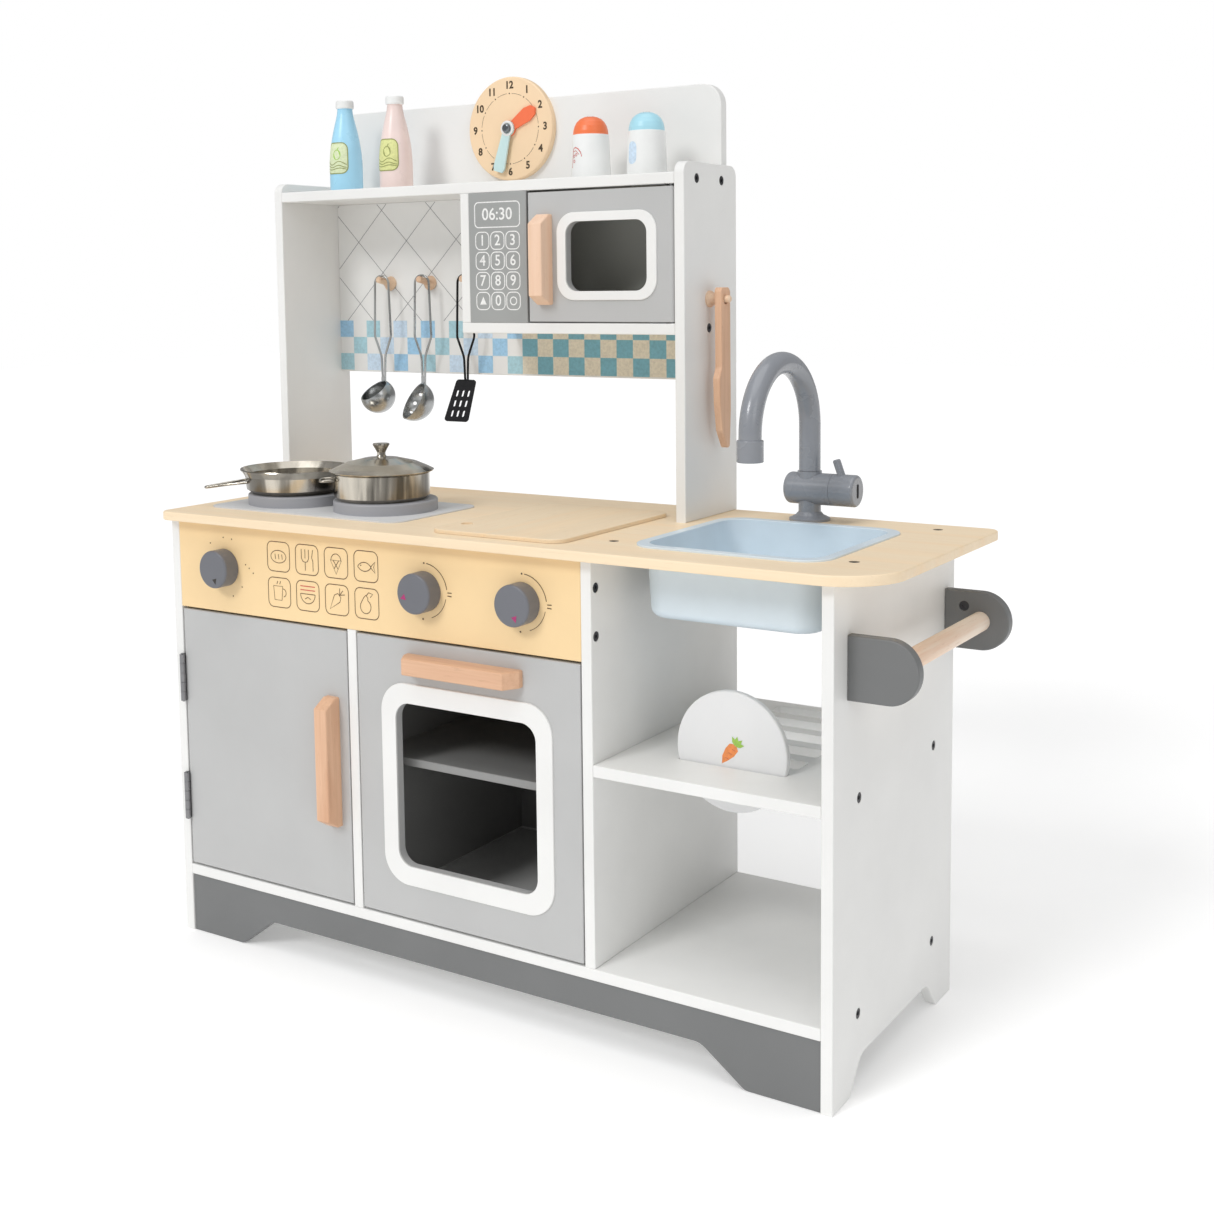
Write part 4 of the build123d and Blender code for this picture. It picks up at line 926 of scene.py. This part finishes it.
def soft_sun(name, source, strength, spread):
    """An even light from one direction; the spread, in degrees, softens its shadows."""
    light = bpy.data.lights.new(name, "SUN")
    light.energy = strength
    light.angle = radians(spread)
    lamp = bpy.data.objects.new(name, light)
    lamp.rotation_euler = Vector(source).to_track_quat("Z", "Y").to_euler()
    bpy.context.scene.collection.objects.link(lamp)


def studio():
    """White background to the eye, a weaker even light on the object, and three suns."""
    world = bpy.data.worlds.new("studio")
    bpy.context.scene.world = world
    world.use_nodes = True
    tree = world.node_tree
    background = tree.nodes["Background"]
    background.inputs["Color"].default_value = (1.0, 1.0, 1.0, 1.0)
    seen = tree.nodes.new("ShaderNodeLightPath").outputs["Is Camera Ray"]
    strength = tree.nodes.new("ShaderNodeMapRange")
    strength.inputs["To Min"].default_value = AMBIENT
    strength.inputs["To Max"].default_value = 1.0
    tree.links.new(seen, strength.inputs["Value"])
    tree.links.new(strength.outputs["Result"], background.inputs["Strength"])
    soft_sun("key", (-0.20, -0.78, 0.58), 1.08, 18)
    soft_sun("side", (0.80, -0.45, 0.42), 0.26, 30)
    soft_sun("top", (0.05, -0.15, 1.0), 1.15, 60)


YAW, PITCH, ROLL = 0.564, -0.100, -0.011
CAMERA_AT = (0.9419, -1.3944, 0.7543)
LENS = 46.7
SHIFT_Y = -0.136


def camera():
    """Looks along yaw and pitch from its place, tipped by its roll."""
    ahead = Vector((-sin(YAW) * cos(PITCH), cos(YAW) * cos(PITCH), sin(PITCH)))
    level = ahead.cross(Vector((0, 0, 1))).normalized()
    upright = level.cross(ahead)
    right = level * cos(ROLL) + upright * sin(ROLL)
    up = upright * cos(ROLL) - level * sin(ROLL)
    data = bpy.data.cameras.new("camera")
    data.sensor_width = 36.0
    data.lens = LENS
    data.shift_y = SHIFT_Y
    data.clip_start, data.clip_end = 0.05, 50.0
    eye = bpy.data.objects.new("camera", data)
    turn = Matrix((right, up, -ahead)).transposed().to_4x4()
    eye.matrix_world = Matrix.Translation(CAMERA_AT) @ turn
    bpy.context.scene.collection.objects.link(eye)
    bpy.context.scene.camera = eye


floor()
studio()
camera()
bpy.context.scene.view_settings.view_transform = "Standard"
